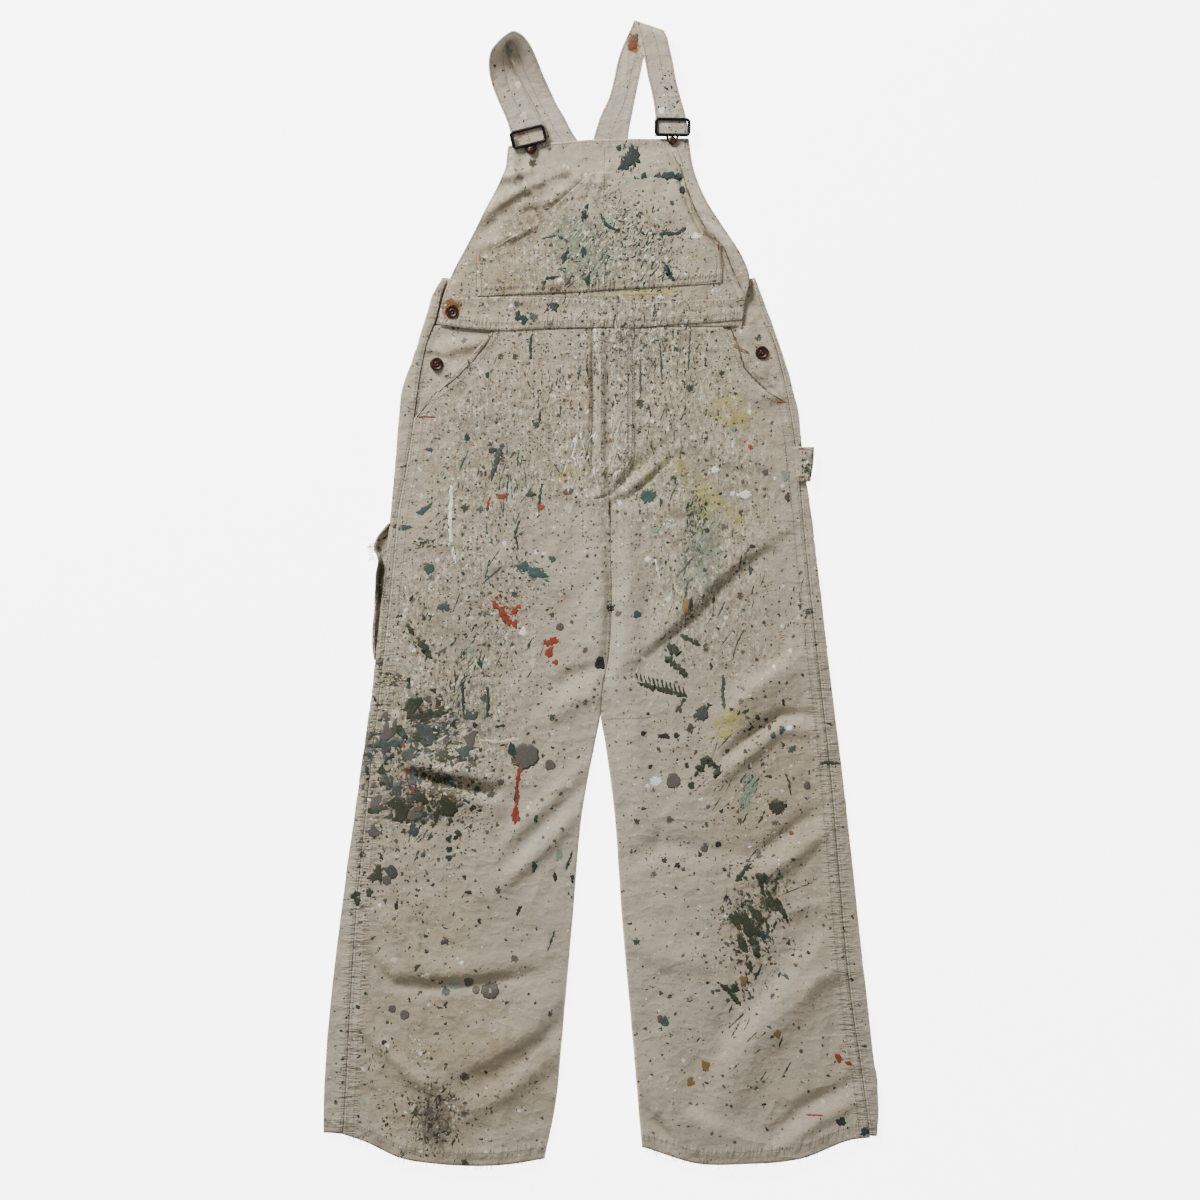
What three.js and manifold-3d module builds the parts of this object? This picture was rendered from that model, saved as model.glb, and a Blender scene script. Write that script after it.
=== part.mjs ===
// Painter's bib overalls, laid out flat and face up: the back panels lie on the surface and the fronts
// lie on them.
// Millimetres, +Z up, +Y towards the straps, +X towards the wearer's left leg.
// The origin is the centre of the footprint, on the surface that the cloth rests on.
import * as THREE from "three";
import { mergeVertices } from "three/addons/utils/BufferGeometryUtils.js";
import Module from "manifold-3d";

// ---------------------------------------------------------------- driving dimensions
const CLOTH = 1.5; // canvas wall
const GAP = 0.3; // clearance where pieces meet
const LAYER = CLOTH + GAP; // one layer of cloth lying on another
const HALF_LENGTH = 696; // strap fold to front hem is twice this
const HALF_WIDTH = 341; // outer edge of one leg to the other is twice this, at the hem
const WAIST_SEAM = 323; // seam between the bib and the legs
const BAND_TOP = 357; // upper edge of the waistband
const FORK = -150; // where the two legs part
const FLY_FOOT = 116; // lower end of the fly flap
const YOKE_TOP = 540; // seam between the high back and the straps
const FLOOR_LAYER = CLOTH / 2; // middle of the cloth that lies on the surface
const FRONT_LAYER = 4.4; // middle of the front cloth, over the back and one layer between
const SEAM_HALF = 0.25; // half the clearance between pieces sewn edge to edge

const canvas = () => new THREE.MeshStandardMaterial({ color: 0xb8ad9e, roughness: 0.95, metalness: 0 });
const steel = () => new THREE.MeshStandardMaterial({ color: 0x2b2826, roughness: 0.55, metalness: 0.8 });

// ---------------------------------------------------------------- curves
const lerp = THREE.MathUtils.lerp;
const ease = (low, high, at) => THREE.MathUtils.smoothstep(at, low, high);

// A smooth function through [place, value] pairs, with level ends.
function smooth(pairs) {
  const last = pairs.length - 1;
  const slope = pairs.map((_, i) => {
    const before = pairs[Math.max(i - 1, 0)];
    const after = pairs[Math.min(i + 1, last)];
    return (after[1] - before[1]) / (after[0] - before[0]);
  });
  return (at) => {
    if (at <= pairs[0][0]) return pairs[0][1];
    if (at >= pairs[last][0]) return pairs[last][1];
    const i = pairs.findIndex((pair) => pair[0] > at) - 1;
    const span = pairs[i + 1][0] - pairs[i][0];
    const t = (at - pairs[i][0]) / span;
    const rise = pairs[i + 1][1] - pairs[i][1];
    const bend = t * (1 - t) * ((1 - t) * (slope[i] * span - rise) - t * (slope[i + 1] * span - rise));
    return pairs[i][1] + t * rise + bend;
  };
}

// ---------------------------------------------------------------- outlines of the two halves
// Each curve gives x for a place y. "edge" is the fold where the back panel comes round to the front,
// "outseam" is where it is sewn to the front, and "inner" is the leg's inner edge and the centre front seam.
// "mouth" is the slanting hip pocket opening, from its foot on the outseam to its head at the waist.
// "hem" gives y for a share of the way from the outseam to the inner edge.
const RIGHT = {
  name: "right",
  outward: -1,
  edge: smooth([
    [-656, -HALF_WIDTH], [-620, -HALF_WIDTH], [-547, -337], [-400, -321], [-254, -301], [-107, -280],
    [-34, -272], [39, -264], [112, -257], [204, -250], [240, -247], [295, -229], [368, -207], [383, -197],
  ]),
  outseam: smooth([
    [-658, -314], [-533, -307], [-400, -299], [-254, -285], [-132, -271], [25, -254], [106, -246],
    [152, -237], [224, -226], [277, -218], [307, -211], [WAIST_SEAM, -204], [383, -190],
  ]),
  inner: smooth([
    [-690, -69], [-620, -55], [-547, -48], [-400, -35], [-254, -21], [-181, -7], [FORK, -1], [-118, 2],
    [-74, 10], [-22, 13], [50, 12], [112, 10], [160, 5], [WAIST_SEAM, 4],
  ]),
  mouth: { foot: [-228, 212], head: [-127, WAIST_SEAM] },
  hem: smooth([[0, -660], [0.1, -668], [0.28, -688], [0.48, -HALF_LENGTH], [0.88, -695], [1, -690]]),
  facingTop: WAIST_SEAM,
};
const LEFT = {
  name: "left",
  outward: 1,
  edge: smooth([
    [-662, 339], [-630, HALF_WIDTH], [-547, 333], [-400, 317], [-254, 301], [-107, 283], [39, 266],
    [112, 256], [167, 248], [222, 243], [259, 234], [332, 210], [368, 197], [389, 189],
  ]),
  outseam: smooth([
    [-664, 328], [-571, 316], [-520, 308], [-456, 300], [-354, 291], [-215, 279], [-62, 262], [81, 247],
    [147, 241], [200, 234], [254, 224], [307, 210], [346, 193], [389, 183],
  ]),
  inner: smooth([
    [-675, 50], [-547, 39], [-400, 26], [-254, 15], [-181, 5], [FORK, 0], [-118, 2], [-74, 10],
    [-22, 13], [50, 12], [112, 10], [160, 5], [WAIST_SEAM, 4],
  ]),
  mouth: { foot: [228, 232], head: [148, WAIST_SEAM] },
  hem: smooth([[0, -664], [0.07, -666], [0.3, -689], [0.57, -HALF_LENGTH], [0.75, -HALF_LENGTH], [1, -676]]),
  facingTop: 345,
};
const BACK_TOP = 383; // upper edge of the back legs, at the side opening

const BIB_RIGHT = smooth([
  [WAIST_SEAM, -202], [342, -197], [360, -192], [387, -182], [423, -167], [460, -147], [497, -127],
  [515, -118], [544, -113],
]);
const BIB_LEFT = smooth([
  [WAIST_SEAM, 172], [356, 174], [389, 180], [405, 174], [442, 151], [478, 128], [515, 113], [553, 107],
]);
const YOKE_RIGHT = smooth([[383, -184], [405, -165], [460, -120], [515, -85], [YOKE_TOP, -66]]);
const YOKE_LEFT = smooth([[383, 178], [405, 160], [460, 108], [515, 55], [YOKE_TOP, 32]]);

// ---------------------------------------------------------------- height of the front cloth
// Main folds of the legs: from [x, y] to [x, y], how wide, and how high (a trough is negative).
const FOLDS = [
  { from: [-300, -382], to: [-209, -608], wide: 26, high: 4.0 },
  { from: [-292, -522], to: [-178, -625], wide: 22, high: -1.3 },
  { from: [-62, -547], to: [-172, -644], wide: 26, high: 4.2 },
  { from: [-245, -448], to: [-80, -440], wide: 22, high: 3.6 },
  { from: [-245, -485], to: [-87, -474], wide: 18, high: -1.2 },
  { from: [-13, -223], to: [-123, -312], wide: 22, high: 4.0 },
  { from: [-26, -258], to: [-129, -345], wide: 18, high: -1.3 },
  { from: [182, 70], to: [23, -100], wide: 24, high: 4.6 },
  { from: [205, 30], to: [50, -145], wide: 20, high: -1.3 },
  { from: [243, -71], to: [151, -176], wide: 23, high: 4.0 },
  { from: [270, -158], to: [145, -222], wide: 20, high: -1.2 },
  { from: [267, -250], to: [170, -335], wide: 24, high: 3.2 },
  { from: [33, -412], to: [145, -632], wide: 28, high: 4.2 },
  { from: [286, -412], to: [157, -620], wide: 24, high: -1.2 },
  { from: [292, -510], to: [194, -644], wide: 24, high: 3.8 },
];
// Places on a side seam where a sewn-on piece lies under the back, so all the layers over it stand higher.
const STACKS = [
  { x: -262, y: 3, halfLength: 102, reach: 42 },
  { x: 243, y: 141, halfLength: 42, reach: 42 },
];
const FOLD_DEPTH = 1.3;
const FOLD_LIMIT = 5;

function stacked(x, y) {
  let most = 0;
  for (const stack of STACKS) {
    const along = 1 - ease(stack.halfLength, stack.halfLength + 30, Math.abs(y - stack.y));
    const across = 1 - ease(stack.reach, stack.reach + 30, Math.abs(x - stack.x));
    most = Math.max(most, along * across);
  }
  return most * LAYER;
}

function folded(x, y) {
  let sum = 0;
  for (const fold of FOLDS) {
    const [ax, ay] = fold.from;
    const [bx, by] = fold.to;
    const dx = bx - ax;
    const dy = by - ay;
    const t = THREE.MathUtils.clamp(((x - ax) * dx + (y - ay) * dy) / (dx * dx + dy * dy), 0, 1);
    const off = Math.hypot(x - ax - t * dx, y - ay - t * dy) / fold.wide;
    sum += fold.high * Math.exp(-off * off);
  }
  return THREE.MathUtils.clamp(sum, -FOLD_DEPTH, FOLD_LIMIT);
}

// Middle of the front cloth at a place.
const frontHeight = (x, y) => FRONT_LAYER + folded(x, y) + stacked(x, y);

// ---------------------------------------------------------------- solids
// A wall of cloth on a grid of points on its middle surface: both faces, and the rim that closes them.
function wall(name, grid, thickness = CLOTH) {
  const rows = grid.length;
  const columns = grid[0].length;
  const faces = [[], []];
  for (let i = 0; i < rows; i++) {
    for (let j = 0; j < columns; j++) {
      const down = grid[Math.min(i + 1, rows - 1)][j].clone().sub(grid[Math.max(i - 1, 0)][j]);
      const across = grid[i][Math.min(j + 1, columns - 1)].clone().sub(grid[i][Math.max(j - 1, 0)]);
      const out = across.cross(down).setLength(thickness / 2);
      faces[0].push(grid[i][j].clone().add(out));
      faces[1].push(grid[i][j].clone().sub(out));
    }
  }
  const count = rows * columns;
  const index = [];
  const quad = (a, b, c, d) => index.push(a, b, c, a, c, d);
  const at = (i, j) => i * columns + j;
  for (let i = 0; i < rows - 1; i++) {
    for (let j = 0; j < columns - 1; j++) {
      quad(at(i, j), at(i, j + 1), at(i + 1, j + 1), at(i + 1, j));
      quad(count + at(i, j), count + at(i + 1, j), count + at(i + 1, j + 1), count + at(i, j + 1));
    }
  }
  const rim = [];
  for (let j = 0; j < columns - 1; j++) rim.push(at(0, j));
  for (let i = 0; i < rows - 1; i++) rim.push(at(i, columns - 1));
  for (let j = columns - 1; j > 0; j--) rim.push(at(rows - 1, j));
  for (let i = rows - 1; i > 0; i--) rim.push(at(i, 0));
  rim.forEach((a, k) => {
    const b = rim[(k + 1) % rim.length];
    quad(a, count + a, count + b, b);
  });
  const geometry = new THREE.BufferGeometry().setFromPoints([...faces[0], ...faces[1]]);
  geometry.setIndex(index);
  return named(name, facingOut(geometry), canvas());
}

// The same geometry with its triangles turned, if it encloses a negative volume.
function facingOut(geometry) {
  const place = geometry.getAttribute("position");
  const corner = (k) => new THREE.Vector3().fromBufferAttribute(place, geometry.index.getX(k));
  let volume = 0;
  for (let k = 0; k < geometry.index.count; k += 3) {
    volume += corner(k).dot(corner(k + 1).cross(corner(k + 2)));
  }
  if (volume < 0) geometry.setIndex(Array.from(geometry.index.array).reverse());
  geometry.computeVertexNormals();
  return geometry;
}

function named(name, geometry, material) {
  const mesh = new THREE.Mesh(geometry, material);
  mesh.name = name;
  return mesh;
}

// Points of a half turn in a section, from the height "from" to the height "to", with its bulge at x = tip.
function halfTurn(tip, toward, from, to, steps) {
  const radius = Math.abs(to - from) / 2;
  return Array.from({ length: steps }, (_, k) => {
    const angle = (Math.PI * (k + 1)) / (steps + 1) - Math.PI / 2;
    const height = (from + to) / 2 + ((to - from) / 2) * Math.sin(angle);
    return [tip - toward * radius * (1 - Math.cos(angle)), height];
  });
}

// ---------------------------------------------------------------- legs
const LEG_ROWS = 26;
const FRONT_COLUMNS = 13;
const BACK_SHARES = [0, 0.38, 0.68, 0.82, 1]; // across the back, closer where a sewn-on piece lies under it
const TURN_STEPS = 4;
const FRONT_TUCK = 4; // points in the turn at the leg's inner edge

// The front leg's outer limit: the outseam, and above the pocket's foot its slanting mouth.
function frontLimit(side, y) {
  const [footX, footY] = side.mouth.foot;
  const [headX, headY] = side.mouth.head;
  if (y <= footY) return side.outseam(y) - side.outward * SEAM_HALF;
  return lerp(footX, headX, (y - footY) / (headY - footY));
}

// Middle of the cloth at the leg's inner edge, where the two legs meet or part.
const innerLimit = (side, y) => side.inner(y) + side.outward * (SEAM_HALF + CLOTH / 2);

// How far the front has turned under at the inner edge: not at the fly, and fully below it.
const tucked = (y) => 1 - ease(55, 112, y);

function frontLeg(side) {
  const grid = [];
  for (let i = 0; i <= LEG_ROWS; i++) {
    const row = [];
    const place = (share) => lerp(WAIST_SEAM - SEAM_HALF, side.hem(share), i / LEG_ROWS);
    const endY = place(1);
    const tip = innerLimit(side, endY);
    const level = frontHeight(tip, endY);
    const radius = (level - FLOOR_LAYER) / 2;
    for (let j = 0; j <= FRONT_COLUMNS; j++) {
      const share = j / FRONT_COLUMNS;
      const y = place(share);
      const end = innerLimit(side, y) + side.outward * radius;
      const x = lerp(frontLimit(side, y), end, share);
      row.push(new THREE.Vector3(x, y, j === FRONT_COLUMNS ? level : frontHeight(x, y)));
    }
    const turn = halfTurn(tip, -side.outward, level, FLOOR_LAYER, FRONT_TUCK);
    turn.push([tip + side.outward * radius, FLOOR_LAYER]);
    turn.forEach(([turnX, turnZ], k) => {
      const straight = tip + side.outward * radius * (1 - (k + 1) / turn.length);
      const share = tucked(endY);
      row.push(new THREE.Vector3(lerp(straight, turnX, share), endY, lerp(level, turnZ, share)));
    });
    grid.push(row);
  }
  return wall("front_leg_" + side.name, grid);
}

function backLeg(side) {
  const grid = [];
  const hemAt = (share) => lerp(-686, side.hem(0) + 2, share);
  for (let i = 0; i <= LEG_ROWS; i++) {
    const row = [];
    const place = (share) => lerp(BACK_TOP, hemAt(share), i / LEG_ROWS);
    const radius = (FRONT_LAYER - FLOOR_LAYER) / 2 + FOLD_LIMIT / 2;
    const outerY = place(1);
    const lift = (x, y) => FLOOR_LAYER + stacked(x, y);
    const tip = side.edge(outerY) - (side.outward * CLOTH) / 2;
    const seamX = side.outseam(outerY) + side.outward * SEAM_HALF;
    const top = frontHeight(seamX, outerY);
    const bend = (top - lift(tip, outerY)) / 2;
    for (const share of BACK_SHARES) {
      const y = place(share);
      const tuck = 1 - ease(140, 170, y);
      const inner = innerLimit(side, y) + side.outward * (radius + CLOTH) * tuck;
      const x = lerp(inner, tip - side.outward * bend, share);
      row.push(new THREE.Vector3(x, y, lift(x, y)));
    }
    for (const [x, z] of halfTurn(tip, side.outward, lift(tip, outerY), top, TURN_STEPS)) {
      row.push(new THREE.Vector3(x, outerY, z));
    }
    const start = tip - side.outward * bend;
    for (const share of [0, 0.5, 1]) {
      const flat = side.outward * (start - seamX) > 1;
      const x = flat ? lerp(start, seamX, share) : start - side.outward * share;
      row.push(new THREE.Vector3(x, outerY, top));
    }
    grid.push(row);
  }
  return wall("back_leg_" + side.name, grid);
}

// The facing behind the slanting pocket mouth. It lies under the front and shows beside it.
function pocketFacing(side) {
  const underlap = 14;
  const [headX] = side.mouth.head;
  const grid = [];
  const rows = 7;
  const columns = 4;
  const low = side.mouth.foot[1] - 4;
  for (let i = 0; i <= rows; i++) {
    const y = lerp(side.facingTop, low, i / rows);
    const near = y > WAIST_SEAM ? headX : frontLimit(side, y);
    const row = [];
    for (let j = 0; j <= columns; j++) {
      const x = lerp(side.outseam(y) - side.outward * SEAM_HALF, near - side.outward * underlap, j / columns);
      row.push(new THREE.Vector3(x, y, FRONT_LAYER - LAYER));
    }
    grid.push(row);
  }
  return wall("pocket_facing_" + side.name, grid);
}

// ---------------------------------------------------------------- bib, its pocket, waistband, fly, high back
// A patch between two side curves, from the height y = low to the curve y = top(share).
function patch(name, low, top, leftX, rightX, rows, columns, z) {
  const grid = [];
  for (let i = 0; i <= rows; i++) {
    const row = [];
    for (let j = 0; j <= columns; j++) {
      const share = j / columns;
      const y = lerp(top(share), low, i / rows);
      row.push(new THREE.Vector3(lerp(leftX(y), rightX(y), share), y, z));
    }
    grid.push(row);
  }
  return wall(name, grid);
}

const bibTop = (share) => lerp(544, 553, share);
const bib = () =>
  patch("bib", WAIST_SEAM + SEAM_HALF, bibTop, BIB_RIGHT, BIB_LEFT, 9, 7, FRONT_LAYER);

const waistband = () =>
  patch("waistband", WAIST_SEAM - 1, () => BAND_TOP, BIB_RIGHT, BIB_LEFT, 2, 8, FRONT_LAYER + LAYER);

const backYoke = () =>
  patch("back_yoke", BACK_TOP + GAP, () => YOKE_TOP, YOKE_RIGHT, YOKE_LEFT, 7, 5, FLOOR_LAYER);

// The bib pocket has two slanting openings that rise from its sides to a short flat top.
function bibPocket() {
  const stations = [
    [-151, 408], [-116, 428], [-81, 449], [-46, 480], [-11, 512],
    [13, 512], [47, 488], [80, 465], [114, 443], [148, 422],
  ];
  const foot = (x) => lerp(360.5, 377, (x + 151) / 299);
  const rows = 4;
  const grid = [];
  for (let i = 0; i <= rows; i++) {
    const across = ([x, top]) => new THREE.Vector3(x, lerp(top, foot(x), i / rows), FRONT_LAYER + LAYER);
    grid.push(stations.map(across));
  }
  return wall("bib_pocket", grid);
}

// The fly flap is straight, and rounds in to its foot on the centre seam.
function flyFlap() {
  const leftX = (y) => lerp(-4, -8.5, ease(FLY_FOOT, 160, y));
  const rightX = (y) => {
    const down = THREE.MathUtils.clamp((172 - y) / (172 - FLY_FOOT), 0, 1);
    return leftX(y) + 3 + (44.5 - (leftX(y) + 5.5)) * Math.sqrt(1 - down * down);
  };
  return patch("fly_flap", FLY_FOOT, () => WAIST_SEAM - 1 - GAP, leftX, rightX, 12, 3, FRONT_LAYER + LAYER);
}

// ---------------------------------------------------------------- pieces sewn round the side seams
// A band whose section starts under the back, turns at the tip and ends on top at the place "landing".
function sideBand(name, side, low, high, rows, start, tip, landing, top) {
  const grid = [];
  for (let i = 0; i <= rows; i++) {
    const y = lerp(high, low, i / rows);
    const tipX = tip(y) - (side.outward * CLOTH) / 2;
    const radius = (top - FLOOR_LAYER) / 2;
    const section = [
      [start, FLOOR_LAYER],
      [lerp(start, tipX - side.outward * radius, 0.5), FLOOR_LAYER],
      [tipX - side.outward * radius, FLOOR_LAYER],
      ...halfTurn(tipX, side.outward, FLOOR_LAYER, top, 5),
      [tipX - side.outward * radius, top],
      [landing(y), top],
    ];
    grid.push(section.map(([x, z]) => new THREE.Vector3(x, y, z)));
  }
  return wall(name, grid);
}

// The tool pocket is a long patch on the back of the right leg; its outer side gapes clear of the leg's edge.
const POCKET_TIP = smooth([[-66, -283], [-20, -280], [40, -280], [57, -281], [74, -273]]);
const POCKET_STANDS = 7.6;
const toolPocket = () =>
  sideBand(
    "tool_pocket", RIGHT, -66, 74, 6, -232, POCKET_TIP,
    (y) => Math.min(RIGHT.edge(y) - 1.1, POCKET_TIP(y) + 4.6), POCKET_STANDS,
  );

// The hammer loop is a wide tape from the left outseam round to the back.
const LOOP_TIP = smooth([[131, 260], [176, 265]]);
const LOOP_STANDS = 10;
const hammerLoop = () =>
  sideBand("hammer_loop", LEFT, 131, 176, 3, 214, LOOP_TIP, (y) => LEFT.outseam(y) + 3, LOOP_STANDS);

// ---------------------------------------------------------------- straps
const STRAP_STEPS = 26;
const STRAP_COLUMNS = 3;
const TAIL_LAYER = FRONT_LAYER + LAYER;
const BAR_TURN = 2.1; // radius of the strap's turn round the buckle's bar
const BUCKLE = {
  right: { x: -88.5, y: 554, turn: THREE.MathUtils.degToRad(14) },
  left: { x: 87, y: 566, turn: THREE.MathUtils.degToRad(-1) },
};
const BAR_OFFSET = -2.5; // the bar lies below the middle of the frame's window

// A place given by its distance across and up a buckle's own axes.
function onBuckle(buckle, across, up, z) {
  const c = Math.cos(buckle.turn);
  const s = Math.sin(buckle.turn);
  return new THREE.Vector3(buckle.x + across * c - up * s, buckle.y + across * s + up * c, z);
}

// The strap starts as a short tail, turns round the bar, runs up over the shoulder fold and down to the
// high back.
// "stations" gives its two edges from above the buckle on, each as [x, y, z].
function strap(name, buckle, stations) {
  const half = 17;
  const pair = (up, z) => [onBuckle(buckle, -half, up, z), onBuckle(buckle, half, up, z)];
  const edges = [pair(40, TAIL_LAYER), pair(20, TAIL_LAYER), pair(BAR_OFFSET, TAIL_LAYER)];
  for (const angle of [-0.5, 0, 0.5]) {
    const up = BAR_OFFSET - BAR_TURN * Math.cos(angle * Math.PI * 0.7);
    edges.push(pair(up, TAIL_LAYER + BAR_TURN * (1 + Math.sin(angle * Math.PI * 0.7))));
  }
  edges.push(pair(BAR_OFFSET, TAIL_LAYER + 2 * BAR_TURN));
  edges.push(pair(8.5, TAIL_LAYER + LAYER + 0.2));
  for (const [a, b] of stations) edges.push([new THREE.Vector3(...a), new THREE.Vector3(...b)]);
  const fixed = 7; // the tail and the turn keep their own points, and the rest is spaced evenly
  const free = [0, 1].map((k) => new THREE.CatmullRomCurve3(edges.slice(fixed).map((edge) => edge[k])));
  const lines = [0, 1].map((k) => [
    ...edges.slice(0, fixed).map((edge) => edge[k]),
    ...Array.from({ length: STRAP_STEPS + 1 }, (_, i) => free[k].getPoint(i / STRAP_STEPS)),
  ]);
  const grid = lines[0].map((point, i) =>
    Array.from({ length: STRAP_COLUMNS + 1 }, (_, j) => point.clone().lerp(lines[1][i], j / STRAP_COLUMNS)),
  );
  return wall(name, grid);
}

// The right strap stands up in a soft loop at the shoulder: its outer edge rises, and lies down again behind.
const strapRight = () =>
  strap("strap_right", BUCKLE.right, [
    [[-117, 574, 8.2], [-75, 583, 8.2]],
    [[-126, 600, 8.4], [-85, 605, 8]],
    [[-133, 626, 10], [-97, 628, 7.4]],
    [[-134, 649, 17], [-108, 648, 6.6]],
    [[-127, 666, 27], [-113, 662, 5.6]],
    [[-113, 676, 33], [-114, 668, 5]],
    [[-97, 676, 30], [-114, 664, 4.4]],
    [[-83, 664, 18], [-113, 654, 3]],
    [[-73, 644, 7], [-110, 640, 1.6]],
    [[-63, 619, 1.6], [-103, 619, 1]],
    [[-50, 591, FLOOR_LAYER], [-89, 590, FLOOR_LAYER]],
    [[-35, 565, FLOOR_LAYER], [-76, 565, FLOOR_LAYER]],
    [[-22, YOKE_TOP + GAP, FLOOR_LAYER], [-63, YOKE_TOP + GAP, FLOOR_LAYER]],
  ]);

// The left strap is pressed flat in a slanting fold at its top.
const strapLeft = () =>
  strap("strap_left", BUCKLE.left, [
    [[65, 586, 8.2], [104, 586, 8.2]],
    [[61, 606, 8.2], [98, 606, 8.2]],
    [[56, 636, 8], [91, 637, 8]],
    [[50, 664, 7.6], [84, 664, 7.6]],
    [[45, 683, 7], [79, 678, 7]],
    [[41, 694.2, 4.4], [75, 685.6, 4.4]],
    [[38, 690, 2], [72, 679, 2]],
    [[31, 675, 1.2], [62, 664, 1]],
    [[23, 657, FLOOR_LAYER], [53, 649, FLOOR_LAYER]],
    [[21, 639, FLOOR_LAYER], [50, 633, FLOOR_LAYER]],
    [[12, 612, FLOOR_LAYER], [44, 611, FLOOR_LAYER]],
    [[0, 580, FLOOR_LAYER], [36, 583, FLOOR_LAYER]],
    [[-11, YOKE_TOP + GAP, FLOOR_LAYER], [31, YOKE_TOP + GAP, FLOOR_LAYER]],
  ]);

// ---------------------------------------------------------------- hardware
const wasm = await Module();
wasm.setup();

// A geometry as a solid of the boolean library, with only its places kept.
function solid(geometry) {
  const bare = geometry.clone();
  bare.deleteAttribute("normal");
  bare.deleteAttribute("uv");
  const merged = mergeVertices(bare, 1e-3);
  const options = { numProp: 3, vertProperties: merged.attributes.position.array };
  return new wasm.Manifold(new wasm.Mesh({ ...options, triVerts: new Uint32Array(merged.index.array) }));
}

function fromSolid(made) {
  const mesh = made.getMesh();
  const geometry = new THREE.BufferGeometry();
  geometry.setAttribute("position", new THREE.BufferAttribute(mesh.vertProperties, 3));
  geometry.setIndex(new THREE.BufferAttribute(mesh.triVerts, 1));
  geometry.computeVertexNormals();
  return geometry;
}

function roundedRectangle(ShapeOrPath, wide, high, corner) {
  const w = wide / 2 - corner;
  const h = high / 2 - corner;
  const path = new ShapeOrPath();
  path.absarc(w, h, corner, 0, Math.PI / 2);
  path.absarc(-w, h, corner, Math.PI / 2, Math.PI);
  path.absarc(-w, -h, corner, Math.PI, 1.5 * Math.PI);
  path.absarc(w, -h, corner, 1.5 * Math.PI, 2 * Math.PI);
  path.closePath();
  return path;
}

// The slide buckle: a frame, the bar that the strap turns round, and the wire loop that hooks on the bib
// button.
const FRAME_WIDE = 44;
const FRAME_HIGH = 22;
const WIRE = 3;
const LOOP_DROP = 16.5; // from the middle of the frame to the middle of the loop
const FRAME_Z = TAIL_LAYER + LAYER + 2.1;
const LOOP_Z = FRONT_LAYER + 4.2;

function buckle(side) {
  const outline = roundedRectangle(THREE.Shape, FRAME_WIDE, FRAME_HIGH, 4);
  outline.holes.push(roundedRectangle(THREE.Path, FRAME_WIDE - 2 * WIRE, FRAME_HIGH - 2 * WIRE, 2));
  const bevel = { bevelThickness: 0.6, bevelSize: 0.5, bevelOffset: -0.5, bevelSegments: 1 };
  const frame = new THREE.ExtrudeGeometry(outline, { depth: WIRE - 1.2, curveSegments: 4, ...bevel });
  frame.translate(0, 0, 0.6);
  const bar = new THREE.CylinderGeometry(0.9, 0.9, FRAME_WIDE - WIRE, 8).rotateZ(Math.PI / 2);
  const barZ = TAIL_LAYER + BAR_TURN - FRAME_Z;
  bar.translate(0, BAR_OFFSET, barZ);
  let made = solid(frame).add(solid(bar));
  for (const end of [-1, 1]) {
    const lug = new THREE.BoxGeometry(WIRE - 0.4, 2.6, 1.6 - barZ);
    lug.translate((end * (FRAME_WIDE - WIRE)) / 2, BAR_OFFSET, (barZ - 0.9 + 0.7) / 2);
    made = made.add(solid(lug));
  }
  const loop = new THREE.TorusGeometry(5.6, 1.4, 8, 16).translate(0, -LOOP_DROP, LOOP_Z - FRAME_Z);
  const neck = new THREE.BoxGeometry(7, 2.4, 4.4).translate(0, -FRAME_HIGH / 2 + 0.8, -0.3);
  made = made.add(solid(loop)).add(solid(neck));
  const mesh = named("buckle_" + side, fromSolid(made), steel());
  mesh.position.set(BUCKLE[side].x, BUCKLE[side].y, FRAME_Z);
  mesh.rotation.z = BUCKLE[side].turn;
  return mesh;
}

// A turned profile, given as [radius, height] from the axis at the bottom to the axis at the top.
function turned(name, profile, x, y, z) {
  const points = profile.map(([r, h]) => new THREE.Vector2(r, h));
  const geometry = new THREE.LatheGeometry([...points, points[0].clone()], 14).rotateX(Math.PI / 2);
  const mesh = named(name, geometry, steel());
  mesh.position.set(x, y, z);
  return mesh;
}

// The bib button: a foot on the bib, a stem through the loop, and a head over it.
function bibButton(side) {
  const profile = [
    [0, 0], [5.4, 0], [5.4, 0.9], [2.4, 1.2], [2.4, 5.4], [4.6, 5.4], [4.6, 6.4], [3.4, 7.2], [0, 7.2],
  ];
  const place = onBuckle(BUCKLE[side], 0, -LOOP_DROP, 0);
  return turned("bib_button_" + side, profile, place.x, place.y, FRONT_LAYER + CLOTH / 2 + GAP);
}

// The tack buttons of the waist and the side openings have a rolled rim and a pierced middle.
function tackButton(name, x, y, cloth) {
  const profile = [[0, 0], [7.6, 0], [8.4, 1], [8.2, 2.4], [6.4, 3.2], [3.4, 2.6], [2, 1.6], [0, 1.6]];
  return turned(name, profile, x, y, cloth + CLOTH / 2 + GAP);
}

// ---------------------------------------------------------------- the whole garment
const overalls = new THREE.Group();
overalls.add(
  backLeg(RIGHT), backLeg(LEFT), backYoke(),
  frontLeg(RIGHT), frontLeg(LEFT), pocketFacing(RIGHT), pocketFacing(LEFT),
  flyFlap(), bib(), bibPocket(), waistband(),
  toolPocket(), hammerLoop(), strapRight(), strapLeft(),
  buckle("right"), buckle("left"), bibButton("right"), bibButton("left"),
  tackButton("waist_button", -181.5, 342, FRONT_LAYER + LAYER),
  tackButton("side_button_right", -200, 278, FRONT_LAYER - LAYER),
  tackButton("side_button_left", 196, 292, FRONT_LAYER - LAYER),
);

export default overalls;
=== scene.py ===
import math

import bpy
import numpy as np
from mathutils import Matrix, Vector
from mathutils.bvhtree import BVHTree


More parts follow.
